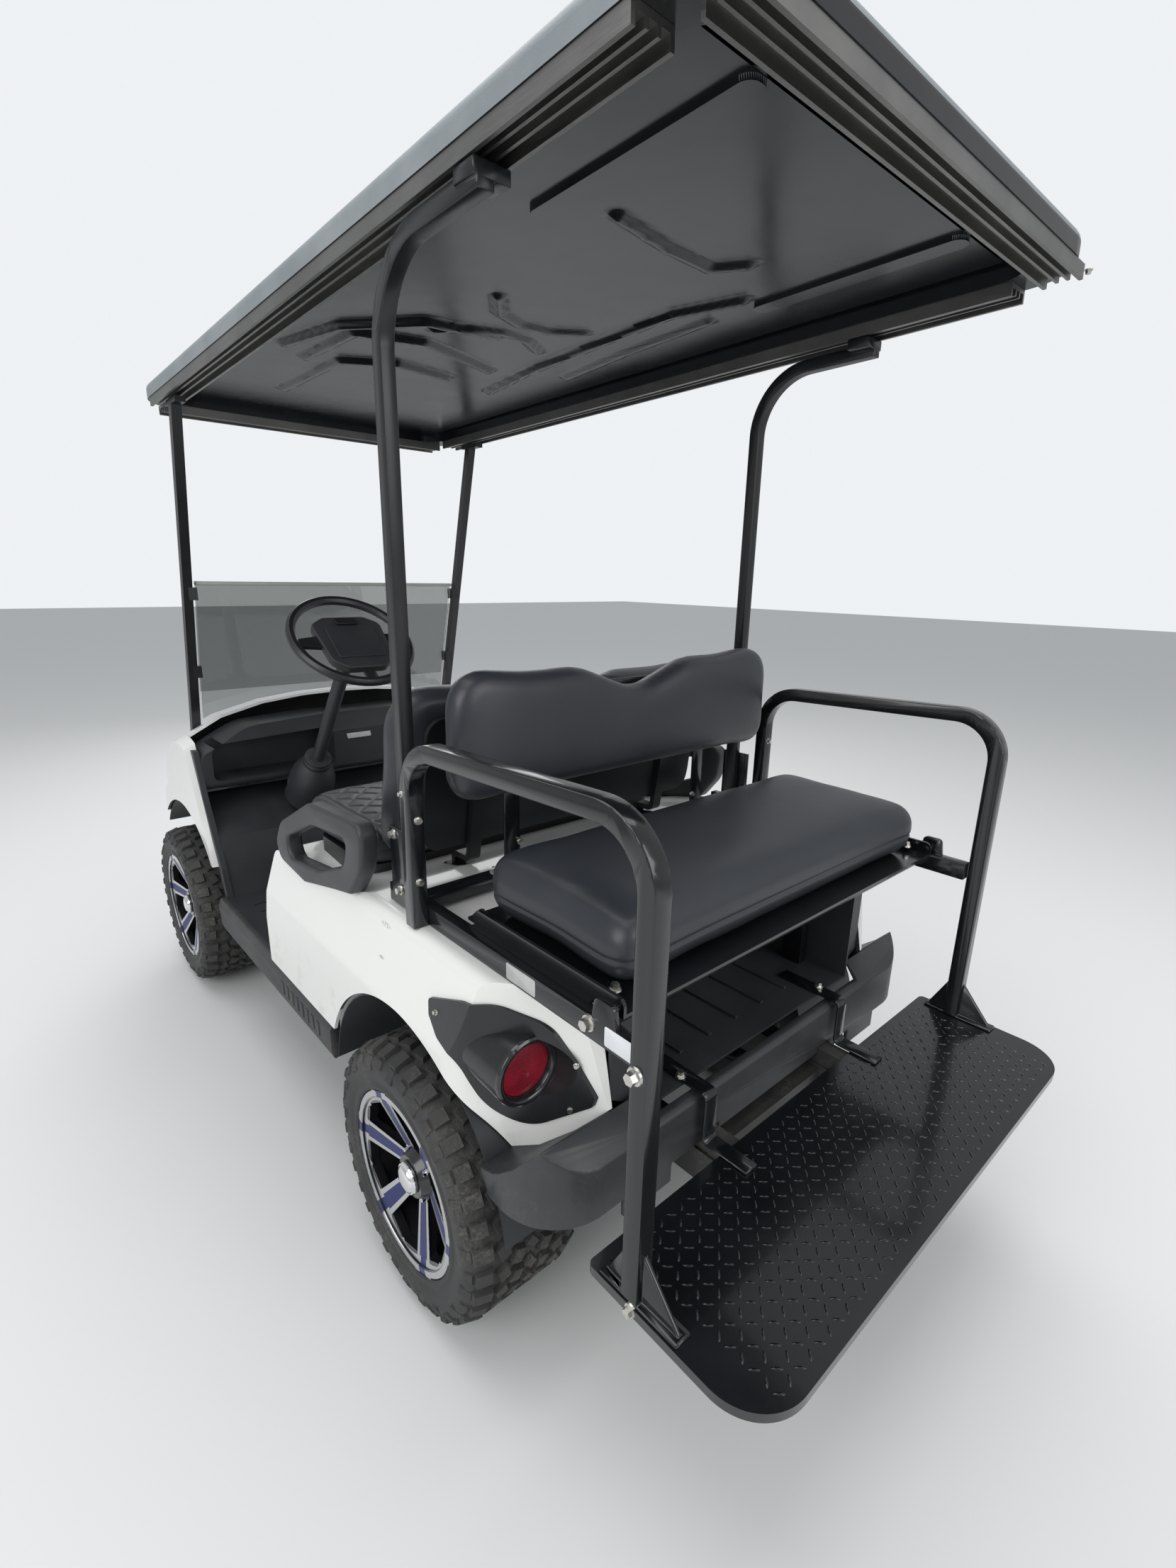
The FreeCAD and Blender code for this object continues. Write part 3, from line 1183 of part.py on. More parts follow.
# Rear seat: a pan with upturned sides that turns on two pins, and its cushion
def make_rear_seat():
    low = deck(d.rail_rise) + d.fit_gap
    high = low + d.pan_thick
    inner = d.seat_half + d.fit_gap
    outer = inner + d.pan_thick
    plate = block(-d.seat_rear - 20, -d.seat_front, -outer, outer, low, high)
    pieces = [plate]
    for label, side in SIDES:
        flange = slab("xz", [(-d.seat_rear - 20, low, 0), (-d.seat_front, low, 0),
                             (-d.seat_front - 30, low + d.pan_flange, 14),
                             (-d.seat_rear - 20, low + d.pan_flange, 14)], inner, outer)
        step = block(-d.seat_rear + 40, -d.seat_front - 30, outer - 1, outer
                     + d.running_gap + 6, low, low + 5)
        pieces += [on_side(flange, side), on_side(step, side)]
    holes = [drum((-d.flip_x, side * d.seat_half, deck(d.flip_rise)), (0, 1, 0), 6 + d.fit_gap, 40)
             for side in (1, -1)]
    pan = joined(pieces).cut(holes)
    subpart("rear_seat_pan", shaped("RearSeatPan", pan))
    seat = slab("xz", [(-d.seat_rear + 4, high + d.fit_gap, 14),
                       (-d.seat_front, high + d.fit_gap, 14),
                       (-d.seat_front, deck(d.seat_rise), 30), (-d.seat_rear + 8, deck(d.seat_rise) - 6, 34)],
                -d.seat_half, d.seat_half)
    subpart("rear_seat_cushion", shaped("RearSeatCushion", seat))


def make_rear_back():
    face = -20
    back = slab("yz", [(-d.back_half, deck(d.back_low_rise), 40), (d.back_half, deck(d.back_low_rise), 40),
                       (d.back_half, deck(d.back_high_rise), 80), (190, deck(d.back_high_rise) + 6, 120),
                       (0, deck(d.back_high_rise) - 52, 140), (-190, deck(d.back_high_rise) + 6, 120),
                       (-d.back_half, deck(d.back_high_rise), 80)], face, face + d.back_thick)
    subpart("rear_backrest", shaped("RearBackrest", back))
    start = face + d.back_thick + d.fit_gap
    board = slab("yz", [(-440, deck(d.back_low_rise) + 30, 30), (440, deck(d.back_low_rise) + 30, 30),
                        (440, deck(d.back_high_rise) - 60, 30), (-440, deck(d.back_high_rise) - 60, 30)],
                 start, start + 6)
    legs = []
    for label, side in SIDES:
        leg = block(start + 6, start + 12, side * 300 - 20, side * 300 + 20,
                    deck(d.rail_rise) + d.fit_gap, deck(d.back_high_rise) - 80)
        foot = block(start + 6, start + 40, side * 300 - 20, side * 300 + 20,
                     deck(d.rail_rise) + d.fit_gap, deck(d.rail_rise) + 6)
        legs += [leg, foot]
    subpart("rear_back_frame", shaped("RearBackFrame", joined([board] + legs)))


# Footplate: a tray of plate with a turned-down edge, on two tubes off the chassis
def make_footplate():
    top = d.plate_top
    half = d.plate_half
    rear = -d.rear_reach
    plan = [(-d.plate_front, -half, 12), (-d.plate_front, half, 12),
            (rear, half, d.plate_corner), (rear, -half, d.plate_corner)]
    inset = d.plate_thick
    inner = [(-d.plate_front - inset, -half + inset, 8), (-d.plate_front - inset, half - inset, 8),
             (rear + inset, half - inset, d.plate_corner - inset),
             (rear + inset, -half + inset, d.plate_corner - inset)]
    tray = slab("xy", plan, top - d.plate_lip, top)
    hollow = slab("xy", inner, top - d.plate_lip - 5, top - d.plate_thick)
    notch = [block(-d.plate_front - 20, -d.plate_front + 20, side * d.rail_half - 24,
                   side * d.rail_half + 24, top - d.plate_lip - 5, top - d.plate_thick)
             for side in (1, -1)]
    return subpart("footplate", shaped("Footplate", tray.cut([hollow] + notch)))


make_frame_rails()
make_rear_axle()
make_motor()
make_batteries()
make_springs()
make_front_axle()
make_rack()
make_rack_rod()
for label, side in SIDES:
    make_knuckle(label, side)
for axle, forward in AXLES:
    for label, side in SIDES:
        make_rim("%s_%s" % (axle, label), forward * d.wheelbase, side)
        make_tyre("%s_%s" % (axle, label), forward * d.wheelbase, side)
make_floor()
make_rear_body()
make_bagwell()
make_rear_bumper()
make_lamps()
make_cowl()
make_liners()
make_front_bumper()
make_dash()
make_end_frames()
make_column()
make_steering_wheel()
make_pedals()
make_windshield()
make_front_struts()
make_rear_struts()
make_roof()
make_channels()
make_rockers()
make_armrests()
make_front_seat()
make_front_back()
make_seat_frame()
make_straps()
make_grab_bars()
make_rear_seat()
make_rear_back()
make_footplate()

doc.recompute()
for item in doc.Objects:
    if "Invalid" in item.State or "Error" in item.State:
        raise RuntimeError("%s failed: %s" % (item.Label, item.State))
broken = [item.Label for item in subparts if item.Shape.isNull() or not item.Shape.isValid()]
if broken:
    raise RuntimeError("no valid shape: " + ", ".join(broken))

os.makedirs("parts", exist_ok=True)
for item in subparts:
    item.Shape.exportStep("parts/%s.step" % item.Label)
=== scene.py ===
"""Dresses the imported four-seat golf cart: materials, upholstery, wheels, roof, fittings and light.

Places are given in millimetres from the rear axle (x forward, y to the left, z up from the
ground) and turned into metres of the shared frame by the function at().
"""
import json
import logging
import math
from dataclasses import dataclass, field
from enum import Enum
from typing import Callable, Iterable, Sequence

import bmesh
import bpy
import numpy
from mathutils import Matrix, Vector

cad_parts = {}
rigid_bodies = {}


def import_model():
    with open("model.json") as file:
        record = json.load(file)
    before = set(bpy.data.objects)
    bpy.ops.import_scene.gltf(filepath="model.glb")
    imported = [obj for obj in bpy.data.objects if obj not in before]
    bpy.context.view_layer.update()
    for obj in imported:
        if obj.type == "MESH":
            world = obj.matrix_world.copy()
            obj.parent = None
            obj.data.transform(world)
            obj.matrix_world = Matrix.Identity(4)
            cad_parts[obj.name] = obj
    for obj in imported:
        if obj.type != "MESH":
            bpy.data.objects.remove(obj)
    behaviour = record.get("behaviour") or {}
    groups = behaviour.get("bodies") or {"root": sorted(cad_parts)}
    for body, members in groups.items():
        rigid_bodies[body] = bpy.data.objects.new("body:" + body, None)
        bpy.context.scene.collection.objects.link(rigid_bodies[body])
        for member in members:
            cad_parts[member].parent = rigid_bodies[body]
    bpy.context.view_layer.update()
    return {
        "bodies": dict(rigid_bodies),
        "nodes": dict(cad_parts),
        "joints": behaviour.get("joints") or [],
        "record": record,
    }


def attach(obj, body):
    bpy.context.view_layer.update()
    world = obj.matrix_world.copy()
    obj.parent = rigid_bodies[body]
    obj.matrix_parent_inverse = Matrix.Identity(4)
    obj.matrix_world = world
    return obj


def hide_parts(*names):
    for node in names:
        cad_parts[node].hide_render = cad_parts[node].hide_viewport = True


log = logging.getLogger("cart")
Colour = tuple[float, float, float]
Mesh = bpy.types.Mesh
Thing = bpy.types.Object
Socket = bpy.types.NodeSocket

# Places that several pieces share, in millimetres from the rear axle
WHEELBASE = 1645.0
HUB_Z = 282.0
TRACK_HALF = 513.0
PLATE_TOP = 456.0
COLUMN_TOP = (951.0, 230.0, 1268.0)
COLUMN_LEAN = 51.3
BAR_FACE = 531.1

AXLE_X = -0.590  # the rear axle in the shared frame, in metres
WELD = 1e-6  # points closer than this, in metres, are one
CLOTH_FRAMES = 20


def at(x: float, y: float, z: float) -> Vector:
    """Turns a place in millimetres from the rear axle into metres of the shared frame.

    Args:
        x: Distance ahead of the rear axle.
        y: Distance to the left of the middle.
        z: Height above the ground.

    Returns:
        The same place in the frame that every piece is built in.
    """
    return Vector((x / 1000 + AXLE_X, y / 1000, z / 1000))


def wire(tree: bpy.types.NodeTree, kind: str, inputs: dict[str | int, object] | None = None,
         **options: object) -> bpy.types.Node:
    """Adds a node to a tree and fills its inputs.

    Args:
        tree: The material's, world's or geometry's node tree.
        kind: The node's type.
        inputs: A value or another node's socket for each input, by its name or number.
        options: Values of the node's own settings.

    Returns:
        The new node.
    """
    node = tree.nodes.new(kind)
    for word, value in options.items():
        setattr(node, word, value)
    for key, value in (inputs or {}).items():
        if isinstance(value, Socket):
            tree.links.new(value, node.inputs[key])
        else:
            node.inputs[key].default_value = value
    return node


class Side(Enum):
    """The two sides of the cart."""

    LEFT = 1
    RIGHT = -1

    @property
    def word(self) -> str:
        """The side's name as it stands in node names."""
        return self.name.lower()


# Finishes


class Shader:
    """Writes one material: colour, roughness and bump, all on Object coordinates."""

    def __init__(self, name: str) -> None:
        """Starts an empty surface of the given name."""
        self.material = bpy.data.materials.new(name)
        self.material.use_nodes = True
        self.tree = self.material.node_tree
        self.surface = self.tree.nodes["Principled BSDF"]
        self.where: Socket = self.add("ShaderNodeTexCoord").outputs["Object"]

    def add(self, kind: str, inputs: dict[str | int, object] | None = None,
            **options: object) -> bpy.types.Node:
        """Adds a node to the material's tree, as wire() does."""
        return wire(self.tree, kind, inputs, **options)

    def set(self, **values: object) -> None:
        """Sets plain values on the surface's own sockets, words joined by underscores."""
        for word, value in values.items():
            socket = self.surface.inputs[word.replace("_", " ")]
            socket.default_value = value

    def drive(self, word: str, source: Socket) -> None:
        """Links a pattern to one of the surface's sockets."""
        self.tree.links.new(source, self.surface.inputs[word])

    def scaled(self, size: Sequence[float], turn: float = 0.0) -> Socket:
        """Stretches and turns the coordinates.

        Args:
            size: Scale along x, y and z.
            turn: Turn about z in degrees.

        Returns:
            The coordinates for a pattern's vector socket.
        """
        node = self.add("ShaderNodeMapping", {
            "Vector": self.where, "Scale": size, "Rotation": (0, 0, math.radians(turn))})
        return node.outputs["Vector"]

    def noise(self, scale: float, detail: float = 3.0, rough: float = 0.5,
              where: Socket | None = None) -> Socket:
        """Adds a cloudy pattern and returns its value from 0 to 1."""
        node = self.add("ShaderNodeTexNoise", {"Scale": scale, "Detail": detail,
                                               "Roughness": rough, "Vector": where or self.where})
        return node.outputs["Fac"]

    def cells(self, scale: float, feature: str = "F1") -> Socket:
        """Adds a cell pattern and returns its distance value."""
        node = self.add("ShaderNodeTexVoronoi", {"Scale": scale, "Vector": self.where},
                        feature=feature)
        return node.outputs["Distance"]

    def part(self, axis: str) -> Socket:
        """Returns one coordinate of the Object coordinates, in metres."""
        return self.add("ShaderNodeSeparateXYZ", {"Vector": self.where}).outputs[axis]

    def near(self, spot: Sequence[float], size: Sequence[float]) -> Socket:
        """Measures how far a point is from a place, as a share of a size.

        Args:
            spot: The place, in millimetres from the rear axle.
            size: Half the mark's length along x, y and z, in millimetres.

        Returns:
            0 at the place and 1 where the size ends.
        """
        away = self.add("ShaderNodeVectorMath", {0: self.where, 1: at(*spot)},
                        operation="SUBTRACT")
        share = self.add("ShaderNodeVectorMath",
                         {0: away.outputs["Vector"], 1: Vector(size) / 1000}, operation="DIVIDE")
        length = self.add("ShaderNodeVectorMath", {0: share.outputs["Vector"]},
                          operation="LENGTH")
        return length.outputs["Value"]

    def map(self, source: Socket, low: float, high: float, start: float = 0.0,
            end: float = 1.0) -> Socket:
        """Maps a value's range low..high smoothly onto start..end."""
        node = self.add("ShaderNodeMapRange", {
            "Value": source, "From Min": low, "From Max": high, "To Min": start, "To Max": end},
                        interpolation_type="SMOOTHSTEP")
        return node.outputs["Result"]

    def sum(self, word: str, first: Socket, second: Socket | float) -> Socket:
        """Joins two values with one of the Math node's operations."""
        return self.add("ShaderNodeMath", {0: first, 1: second}, operation=word).outputs[0]

    def tint(self, factor: Socket, first: Colour | Socket, second: Colour) -> Socket:
        """Blends two colours by a factor and returns the colour."""
        base = (*first, 1) if isinstance(first, tuple) else first
        node = self.add("ShaderNodeMix", {"Factor": factor, 6: base, 7: (*second, 1)},
                        data_type="RGBA")
        return node.outputs[2]

    def bump(self, *layers: tuple[Socket, float]) -> None:
        """Stacks bump layers, each a height pattern with its depth in millimetres."""
        normal: Socket | None = None
        for height, depth in layers:
            inputs = {"Height": height, "Strength": 1.0, "Distance": depth / 1000}
            if normal is not None:
                inputs["Normal"] = normal
            normal = self.add("ShaderNodeBump", inputs).outputs["Normal"]
        if normal is not None:
            self.drive("Normal", normal)


@dataclass(frozen=True)
class Finish:
    """A plain surface: two close colours, roughness and a fine grain."""

    name: str
    colour: Colour
    second: Colour
    roughness: float
    spread: float = 0.08
    metallic: float = 0.0
    coat: float = 0.0
    coat_roughness: float = 0.06
    cloud_mm: float = 160.0
    grain_mm: float = 1.2
    grain_depth: float = 0.05
    wave_mm: float = 0.0
    wave_depth: float = 0.0

    def material(self) -> bpy.types.Material:
        """Builds the material.

        Returns:
            The node material for a piece's slot.
        """
        shader = Shader(self.name)
        cloud = shader.noise(1000 / self.cloud_mm, 4.0, 0.6)
        shader.drive("Base Color", shader.tint(shader.map(cloud, 0.3, 0.7), self.colour,
                                               self.second))
        shader.drive("Roughness", shader.map(cloud, 0.25, 0.75, self.roughness - self.spread / 2,
                                             self.roughness + self.spread / 2))
        shader.set(Metallic=self.metallic, Coat_Weight=self.coat,
                   Coat_Roughness=self.coat_roughness)
        layers = [(shader.noise(1000 / self.grain_mm, 2.0, 0.5), self.grain_depth)]
        if self.wave_mm:
            layers.append((shader.noise(1000 / self.wave_mm, 1.0, 0.4), self.wave_depth))
        shader.bump(*layers)
        self.dress(shader)
        return shader.material

    def dress(self, shader: Shader) -> None:
        """Adds what a special finish has beyond this plain one."""


@dataclass(frozen=True)
class Vinyl(Finish):
    """Upholstery vinyl with a fine pebbled grain and faint creases."""

    def dress(self, shader: Shader) -> None:
        """Replaces the bump with cell grain over soft creases."""
        warp = shader.noise(60.0, 2.0)
        grain = shader.cells(1000 / self.grain_mm, "SMOOTH_F1")
        shader.bump((shader.noise(26.0, 3.0, 0.55), 0.3), (warp, 0.08),
                    (grain, self.grain_depth))


@dataclass(frozen=True)
class BodyPaint(Finish):
    """Gloss white moulding with a little road dust low down."""

    dust: Colour = (0.46, 0.43, 0.38)
    rubbed: Colour = (0.16, 0.16, 0.16)
    # place and half size of each rubbed mark, in millimetres
    marks: tuple[tuple[tuple[float, float, float], tuple[float, float, float]], ...] = (
        ((120, 571, 786), (26, 30, 7)), ((124, 585, 718), (15, 30, 5)))

    def dress(self, shader: Shader) -> None:
        """Adds the dust film near the sills and arches and a few grey scuffs."""
        low = shader.map(shader.part("Z"), 0.62, 0.42)
        patch = shader.map(shader.noise(14.0, 6.0, 0.68), 0.5, 0.78)
        film = shader.sum("MULTIPLY", low, patch)
        dusty = shader.tint(shader.sum("MULTIPLY", film, 0.55), self.colour, self.dust)
        streak = shader.noise(90.0, 5.0, 0.75, shader.scaled((1.0, 1.0, 5.0)))
        scuff = shader.sum("MULTIPLY", shader.map(streak, 0.71, 0.75),
                           shader.map(shader.noise(5.0, 1.0), 0.56, 0.66))
        for spot, size in self.marks:
            rub = shader.map(shader.near(spot, size), 1.0, 0.4)
            scuff = shader.sum("MAXIMUM", scuff, shader.sum(
                "MULTIPLY", rub, shader.map(shader.noise(160.0, 4.0, 0.7), 0.4, 0.6)))
        shader.drive("Base Color", shader.tint(shader.sum("MULTIPLY", scuff, 0.6), dusty,
                                               self.rubbed))


@dataclass(frozen=True)
class Worn(Finish):
    """Moulded plastic or rubber with pale dust caught in its texture."""

    dust: Colour = (0.2, 0.185, 0.16)
    amount: float = 0.35
    low: float = 0.75

    def dress(self, shader: Shader) -> None:
        """Lays dust in uneven patches, more of it low down."""
        patch = shader.map(shader.noise(9.0, 7.0, 0.7), 0.42, 0.75)
        fine = shader.map(shader.noise(170.0, 3.0, 0.6), 0.35, 0.7)
        height = shader.map(shader.part("Z"), self.low, 0.05, 0.25, 1.0)
        dust = shader.sum("MULTIPLY", shader.sum("MULTIPLY", patch, fine), height)
        cloud = shader.map(shader.noise(1000 / self.cloud_mm, 4.0, 0.6), 0.3, 0.7)
        base = shader.tint(cloud, self.colour, self.second)
        shader.drive("Base Color", shader.tint(shader.sum("MULTIPLY", dust, self.amount), base,
                                               self.dust))


@dataclass(frozen=True)
class Brushed(Finish):
    """Extruded or machined aluminium with fine lines along one axis."""

    along: tuple[float, float, float] = (0.02, 1.0, 1.0)

    def dress(self, shader: Shader) -> None:
        """Draws the fine lines in roughness and bump."""
        lines = shader.noise(900.0, 3.0, 0.6, shader.scaled(self.along))
        shader.drive("Roughness", shader.map(lines, 0.3, 0.7, self.roughness - 0.08,
                                             self.roughness + 0.1))
        shader.bump((lines, self.grain_depth))


@dataclass(frozen=True)
class Pane(Finish):
    """Smoke-tinted clear sheet."""

    def dress(self, shader: Shader) -> None:
        """Makes the sheet clear, with a faint smear in its roughness."""
        shader.set(Transmission_Weight=1.0, IOR=1.49)
        smear = shader.noise(7.0, 5.0, 0.65)
        shader.drive("Roughness", shader.map(smear, 0.4, 0.8, 0.0, self.roughness))


@dataclass(frozen=True)
class Lens(Finish):
    """Deep coloured lamp lens with small prisms behind a gloss face."""

    def dress(self, shader: Shader) -> None:
        """Adds the prism grid under a clear coat."""
        grid = shader.cells(420.0, "F1")
        patch = shader.map(shader.noise(24.0, 2.0, 0.4), 0.3, 0.75)
        shader.drive("Base Color", shader.tint(patch, self.colour, self.second))
        shader.bump((grid, 0.5))
        shader.set(Coat_Weight=1.0, Coat_Roughness=0.04)


class Palette:
    """Every finish of the cart, built once."""

    def __init__(self) -> None:
        """Builds the materials in order."""
        finishes: tuple[Finish, ...] = (
            BodyPaint("body_gloss_white", (0.80, 0.80, 0.775), (0.78, 0.78, 0.75), 0.2, 0.08,
                      coat=0.5, grain_mm=0.6, grain_depth=0.004, wave_mm=45, wave_depth=0.12),
            Worn("bumper_moulding", (0.030, 0.031, 0.035), (0.038, 0.039, 0.043), 0.46, 0.12,
                 grain_mm=0.9, grain_depth=0.1, amount=0.3),
            Worn("pod_moulding", (0.010, 0.0105, 0.012), (0.014, 0.0145, 0.016), 0.27, 0.08,
                 grain_mm=0.8, grain_depth=0.05, amount=0.12),
            Worn("cabin_moulding", (0.020, 0.022, 0.026), (0.026, 0.028, 0.032), 0.5, 0.12,
                 grain_mm=1.0, grain_depth=0.12, amount=0.22, low=0.6),
            Worn("rocker_moulding", (0.034, 0.035, 0.037), (0.044, 0.044, 0.046), 0.6, 0.1,
                 grain_mm=1.3, grain_depth=0.14, amount=0.6),
            Finish("gloss_powder_coat", (0.006, 0.0065, 0.008), (0.008, 0.009, 0.011), 0.2, 0.08,
                   coat=0.35, grain_mm=2.4, grain_depth=0.012, wave_mm=9, wave_depth=0.03),
            Finish("satin_powder_coat", (0.010, 0.011, 0.013), (0.014, 0.015, 0.017), 0.34, 0.1,
                   grain_mm=0.8, grain_depth=0.03, wave_mm=8, wave_depth=0.03),
            Worn("chassis_paint", (0.028, 0.028, 0.030), (0.045, 0.043, 0.04), 0.55, 0.15,
                 grain_mm=1.6, grain_depth=0.1, amount=0.7),
            Worn("motor_paint", (0.10, 0.10, 0.105), (0.13, 0.13, 0.13), 0.5, 0.15,
                 grain_mm=1.5, grain_depth=0.08, amount=0.5),
            Vinyl("charcoal_vinyl", (0.024, 0.027, 0.033), (0.028, 0.031, 0.037), 0.38, 0.06,
                  grain_mm=1.5, grain_depth=0.05),
            Worn("tyre_tread", (0.030, 0.030, 0.030), (0.044, 0.043, 0.041), 0.78, 0.12,
                 grain_mm=1.8, grain_depth=0.18, amount=0.75, dust=(0.23, 0.215, 0.19)),
            Worn("tyre_sidewall", (0.024, 0.024, 0.025), (0.032, 0.032, 0.033), 0.6, 0.12,
                 grain_mm=1.2, grain_depth=0.06, amount=0.45),
            Brushed("machined_face", (0.56, 0.565, 0.58), (0.62, 0.62, 0.63), 0.24, metallic=1.0,
                    grain_depth=0.01, along=(1.0, 0.04, 1.0)),
            Finish("wheel_gloss_black", (0.010, 0.010, 0.012), (0.014, 0.014, 0.017), 0.18,
                   coat=0.5, grain_depth=0.01),
            Finish("wheel_blue", (0.004, 0.010, 0.095), (0.006, 0.014, 0.120), 0.36, coat=0.1,
                   grain_depth=0.012),
            Finish("cap_chrome", (0.78, 0.78, 0.79), (0.8, 0.8, 0.81), 0.09, 0.05, metallic=1.0,
                   grain_depth=0.004),
            Finish("zinc_plate", (0.56, 0.55, 0.51), (0.68, 0.66, 0.62), 0.32, 0.14,
                   metallic=1.0, cloud_mm=9, grain_mm=0.7, grain_depth=0.03),
            Lens("tail_lens_red", (0.30, 0.006, 0.022), (0.17, 0.003, 0.013), 0.16,
                 grain_depth=0.02),
            Pane("head_lens_clear", (0.9, 0.92, 0.94), (0.9, 0.92, 0.94), 0.05,
                 grain_depth=0.01),
            Pane("smoke_sheet", (0.56, 0.57, 0.56), (0.56, 0.57, 0.56), 0.008,
                 grain_depth=0.001),
            Finish("hinge_vinyl", (0.33, 0.36, 0.33), (0.38, 0.41, 0.38), 0.4,
                   grain_mm=0.8, grain_depth=0.01),
            Finish("roof_underside", (0.006, 0.0065, 0.008), (0.009, 0.010, 0.012), 0.24, 0.1,
                   cloud_mm=380, grain_mm=1.6, grain_depth=0.02, wave_mm=90,
                   wave_depth=0.8),
            Worn("roof_outer", (0.20, 0.225, 0.24), (0.26, 0.285, 0.30), 0.5, 0.1,
                 grain_mm=3.2, grain_depth=0.25, amount=0.1),
            Brushed("extruded_channel", (0.20, 0.196, 0.19), (0.25, 0.245, 0.236), 0.42,
                    metallic=1.0, grain_depth=0.02),
            Finish("blank_label", (0.74, 0.76, 0.78), (0.78, 0.79, 0.81), 0.4,
                   grain_depth=0.006, cloud_mm=30),
            Finish("orange_label", (0.75, 0.20, 0.03), (0.78, 0.24, 0.05), 0.45,
                   grain_depth=0.006, cloud_mm=30),
            Finish("silver_label", (0.5, 0.51, 0.5), (0.56, 0.56, 0.55), 0.35, metallic=0.5,
                   grain_depth=0.006, cloud_mm=24),
        )
        self.made = {finish.name: finish.material() for finish in finishes}

    def __getitem__(self, name: str) -> bpy.types.Material:
        """Returns the material of a finish by its name."""
        return self.made[name]


# Mesh making


def piece(name: str, mesh: Mesh, body: str, slot: str, *materials: bpy.types.Material,
          smooth: float | None = 35.0) -> Thing:
    """Places a finished mesh in the scene and lets it ride on a body.

    Args:
        name: The piece's plain name.
        mesh: Its mesh, in metres of the shared frame.
        body: The body that carries it.
        slot: The record's material slot; not used.
        materials: Its materials; the mesh's own stay when none is given.
        smooth: The sharpest angle in degrees that is shaded smooth, or None for all.

    Returns:
        The new object.
    """
    mesh.name = name
    for material in materials:
        mesh.materials.append(material)
    thing = stand(name, mesh)
    shade(mesh, smooth)
    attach(thing, body)
    log.info("%s on %s: %d faces", name, body, len(mesh.polygons))
    return thing


def shade(mesh: Mesh, limit: float | None) -> None:
    """Shades a mesh smooth, with edges sharper than the limit kept crisp."""
    for polygon in mesh.polygons:
        polygon.use_smooth = True
    if limit is not None:
        mesh.set_sharp_from_angle(angle=math.radians(limit))


def baked(thing: Thing) -> Mesh:
    """Evaluates an object's modifiers into a new mesh and removes the object."""
    graph = bpy.context.evaluated_depsgraph_get()
    graph.update()
    mesh = bpy.data.meshes.new_from_object(thing.evaluated_get(graph))
    bpy.data.objects.remove(thing)
    return mesh


def stand(name: str, data: bpy.types.ID) -> Thing:
    """Puts a mesh, curve, light or camera into the scene."""
    thing = bpy.data.objects.new(name, data)
    bpy.context.scene.collection.objects.link(thing)
    return thing


def thickened(name: str, sheet: Mesh, wall: float) -> Mesh:
    """Gives a sheet a wall of so many millimetres behind its faces."""
    thing = stand(name, sheet)
    thick = thing.modifiers.new("thick", "SOLIDIFY")
    thick.thickness = wall / 1000
    thick.offset = -1.0
    return baked(thing)


def plain_mesh(name: str, form: bmesh.types.BMesh) -> Mesh:
    """Turns a bmesh into a mesh as it is, and frees it."""
    mesh = bpy.data.meshes.new(name)
    form.to_mesh(mesh)
    form.free()
    return mesh


def from_bmesh(name: str, form: bmesh.types.BMesh) -> Mesh:
    """Turns a bmesh into a mesh whose faces point outwards, and frees it."""
    bmesh.ops.recalc_face_normals(form, faces=form.faces)
    return plain_mesh(name, form)


def rounded(corners: Sequence[tuple[float, float, float]], steps: int = 8
            ) -> list[tuple[float, float]]:
    """Rounds each corner of a closed outline by an arc of its own radius.

    Args:
        corners: (u, v, radius) of each corner, in order.
        steps: Points on each arc.

    Returns:
        The outline's points.
    """
    points: list[tuple[float, float]] = []
    count = len(corners)
    for index, (u, v, radius) in enumerate(corners):
        here = Vector((u, v))
        back = Vector(corners[index - 1][:2]) - here
        ahead = Vector(corners[(index + 1) % count][:2]) - here
        half = back.angle(ahead) / 2
        if radius <= 0 or half > math.radians(88):
            points.append((u, v))
            continue
        run = min(radius / math.tan(half), back.length * 0.499, ahead.length * 0.499)
        start = here + back.normalized() * run
        end = here + ahead.normalized() * run
        for step in range(steps + 1):
            share = step / steps
            spot = start.lerp(here, share).lerp(here.lerp(end, share), share)
            points.append((spot.x, spot.y))
    return points


def prism(outline: Sequence[tuple[float, float]], place: Callable[[float, float, float], Vector],
          low: float, high: float, edge: float = 0.0, steps: int = 4) -> bmesh.types.BMesh:
    """Extrudes a closed outline and rounds the edges of its two ends.

    Args:
        outline: (u, v) points in millimetres.
        place: Turns (u, v, w) into a place in the frame.
        low: Start of the extrusion along w.
        high: End of the extrusion along w.
        edge: Radius of the rounded end edges, in millimetres.
        steps: Segments of that rounding.

    Returns:
        The closed solid.
    """
    form = bmesh.new()
    rings = [[form.verts.new(place(u, v, w)) for u, v in outline] for w in (low, high)]
    count = len(outline)
    for index in range(count):
        after = (index + 1) % count
        form.faces.new((rings[0][index], rings[0][after], rings[1][after], rings[1][index]))
    ends = [form.faces.new(rings[0][::-1]), form.faces.new(rings[1])]
    bmesh.ops.recalc_face_normals(form, faces=form.faces)
    if edge:
        rims = list({line for face in ends for line in face.edges})
        bmesh.ops.bevel(form, geom=rims, offset=edge / 1000, segments=steps, profile=0.5,
                        affect="EDGES", clamp_overlap=True)
    return form


def joined(name: str, meshes: Iterable[Mesh]) -> Mesh:
    """Joins meshes into one, keeping each face's material index."""
    form = bmesh.new()
    for mesh in meshes:
        form.from_mesh(mesh)
        bpy.data.meshes.remove(mesh)
    return plain_mesh(name, form)


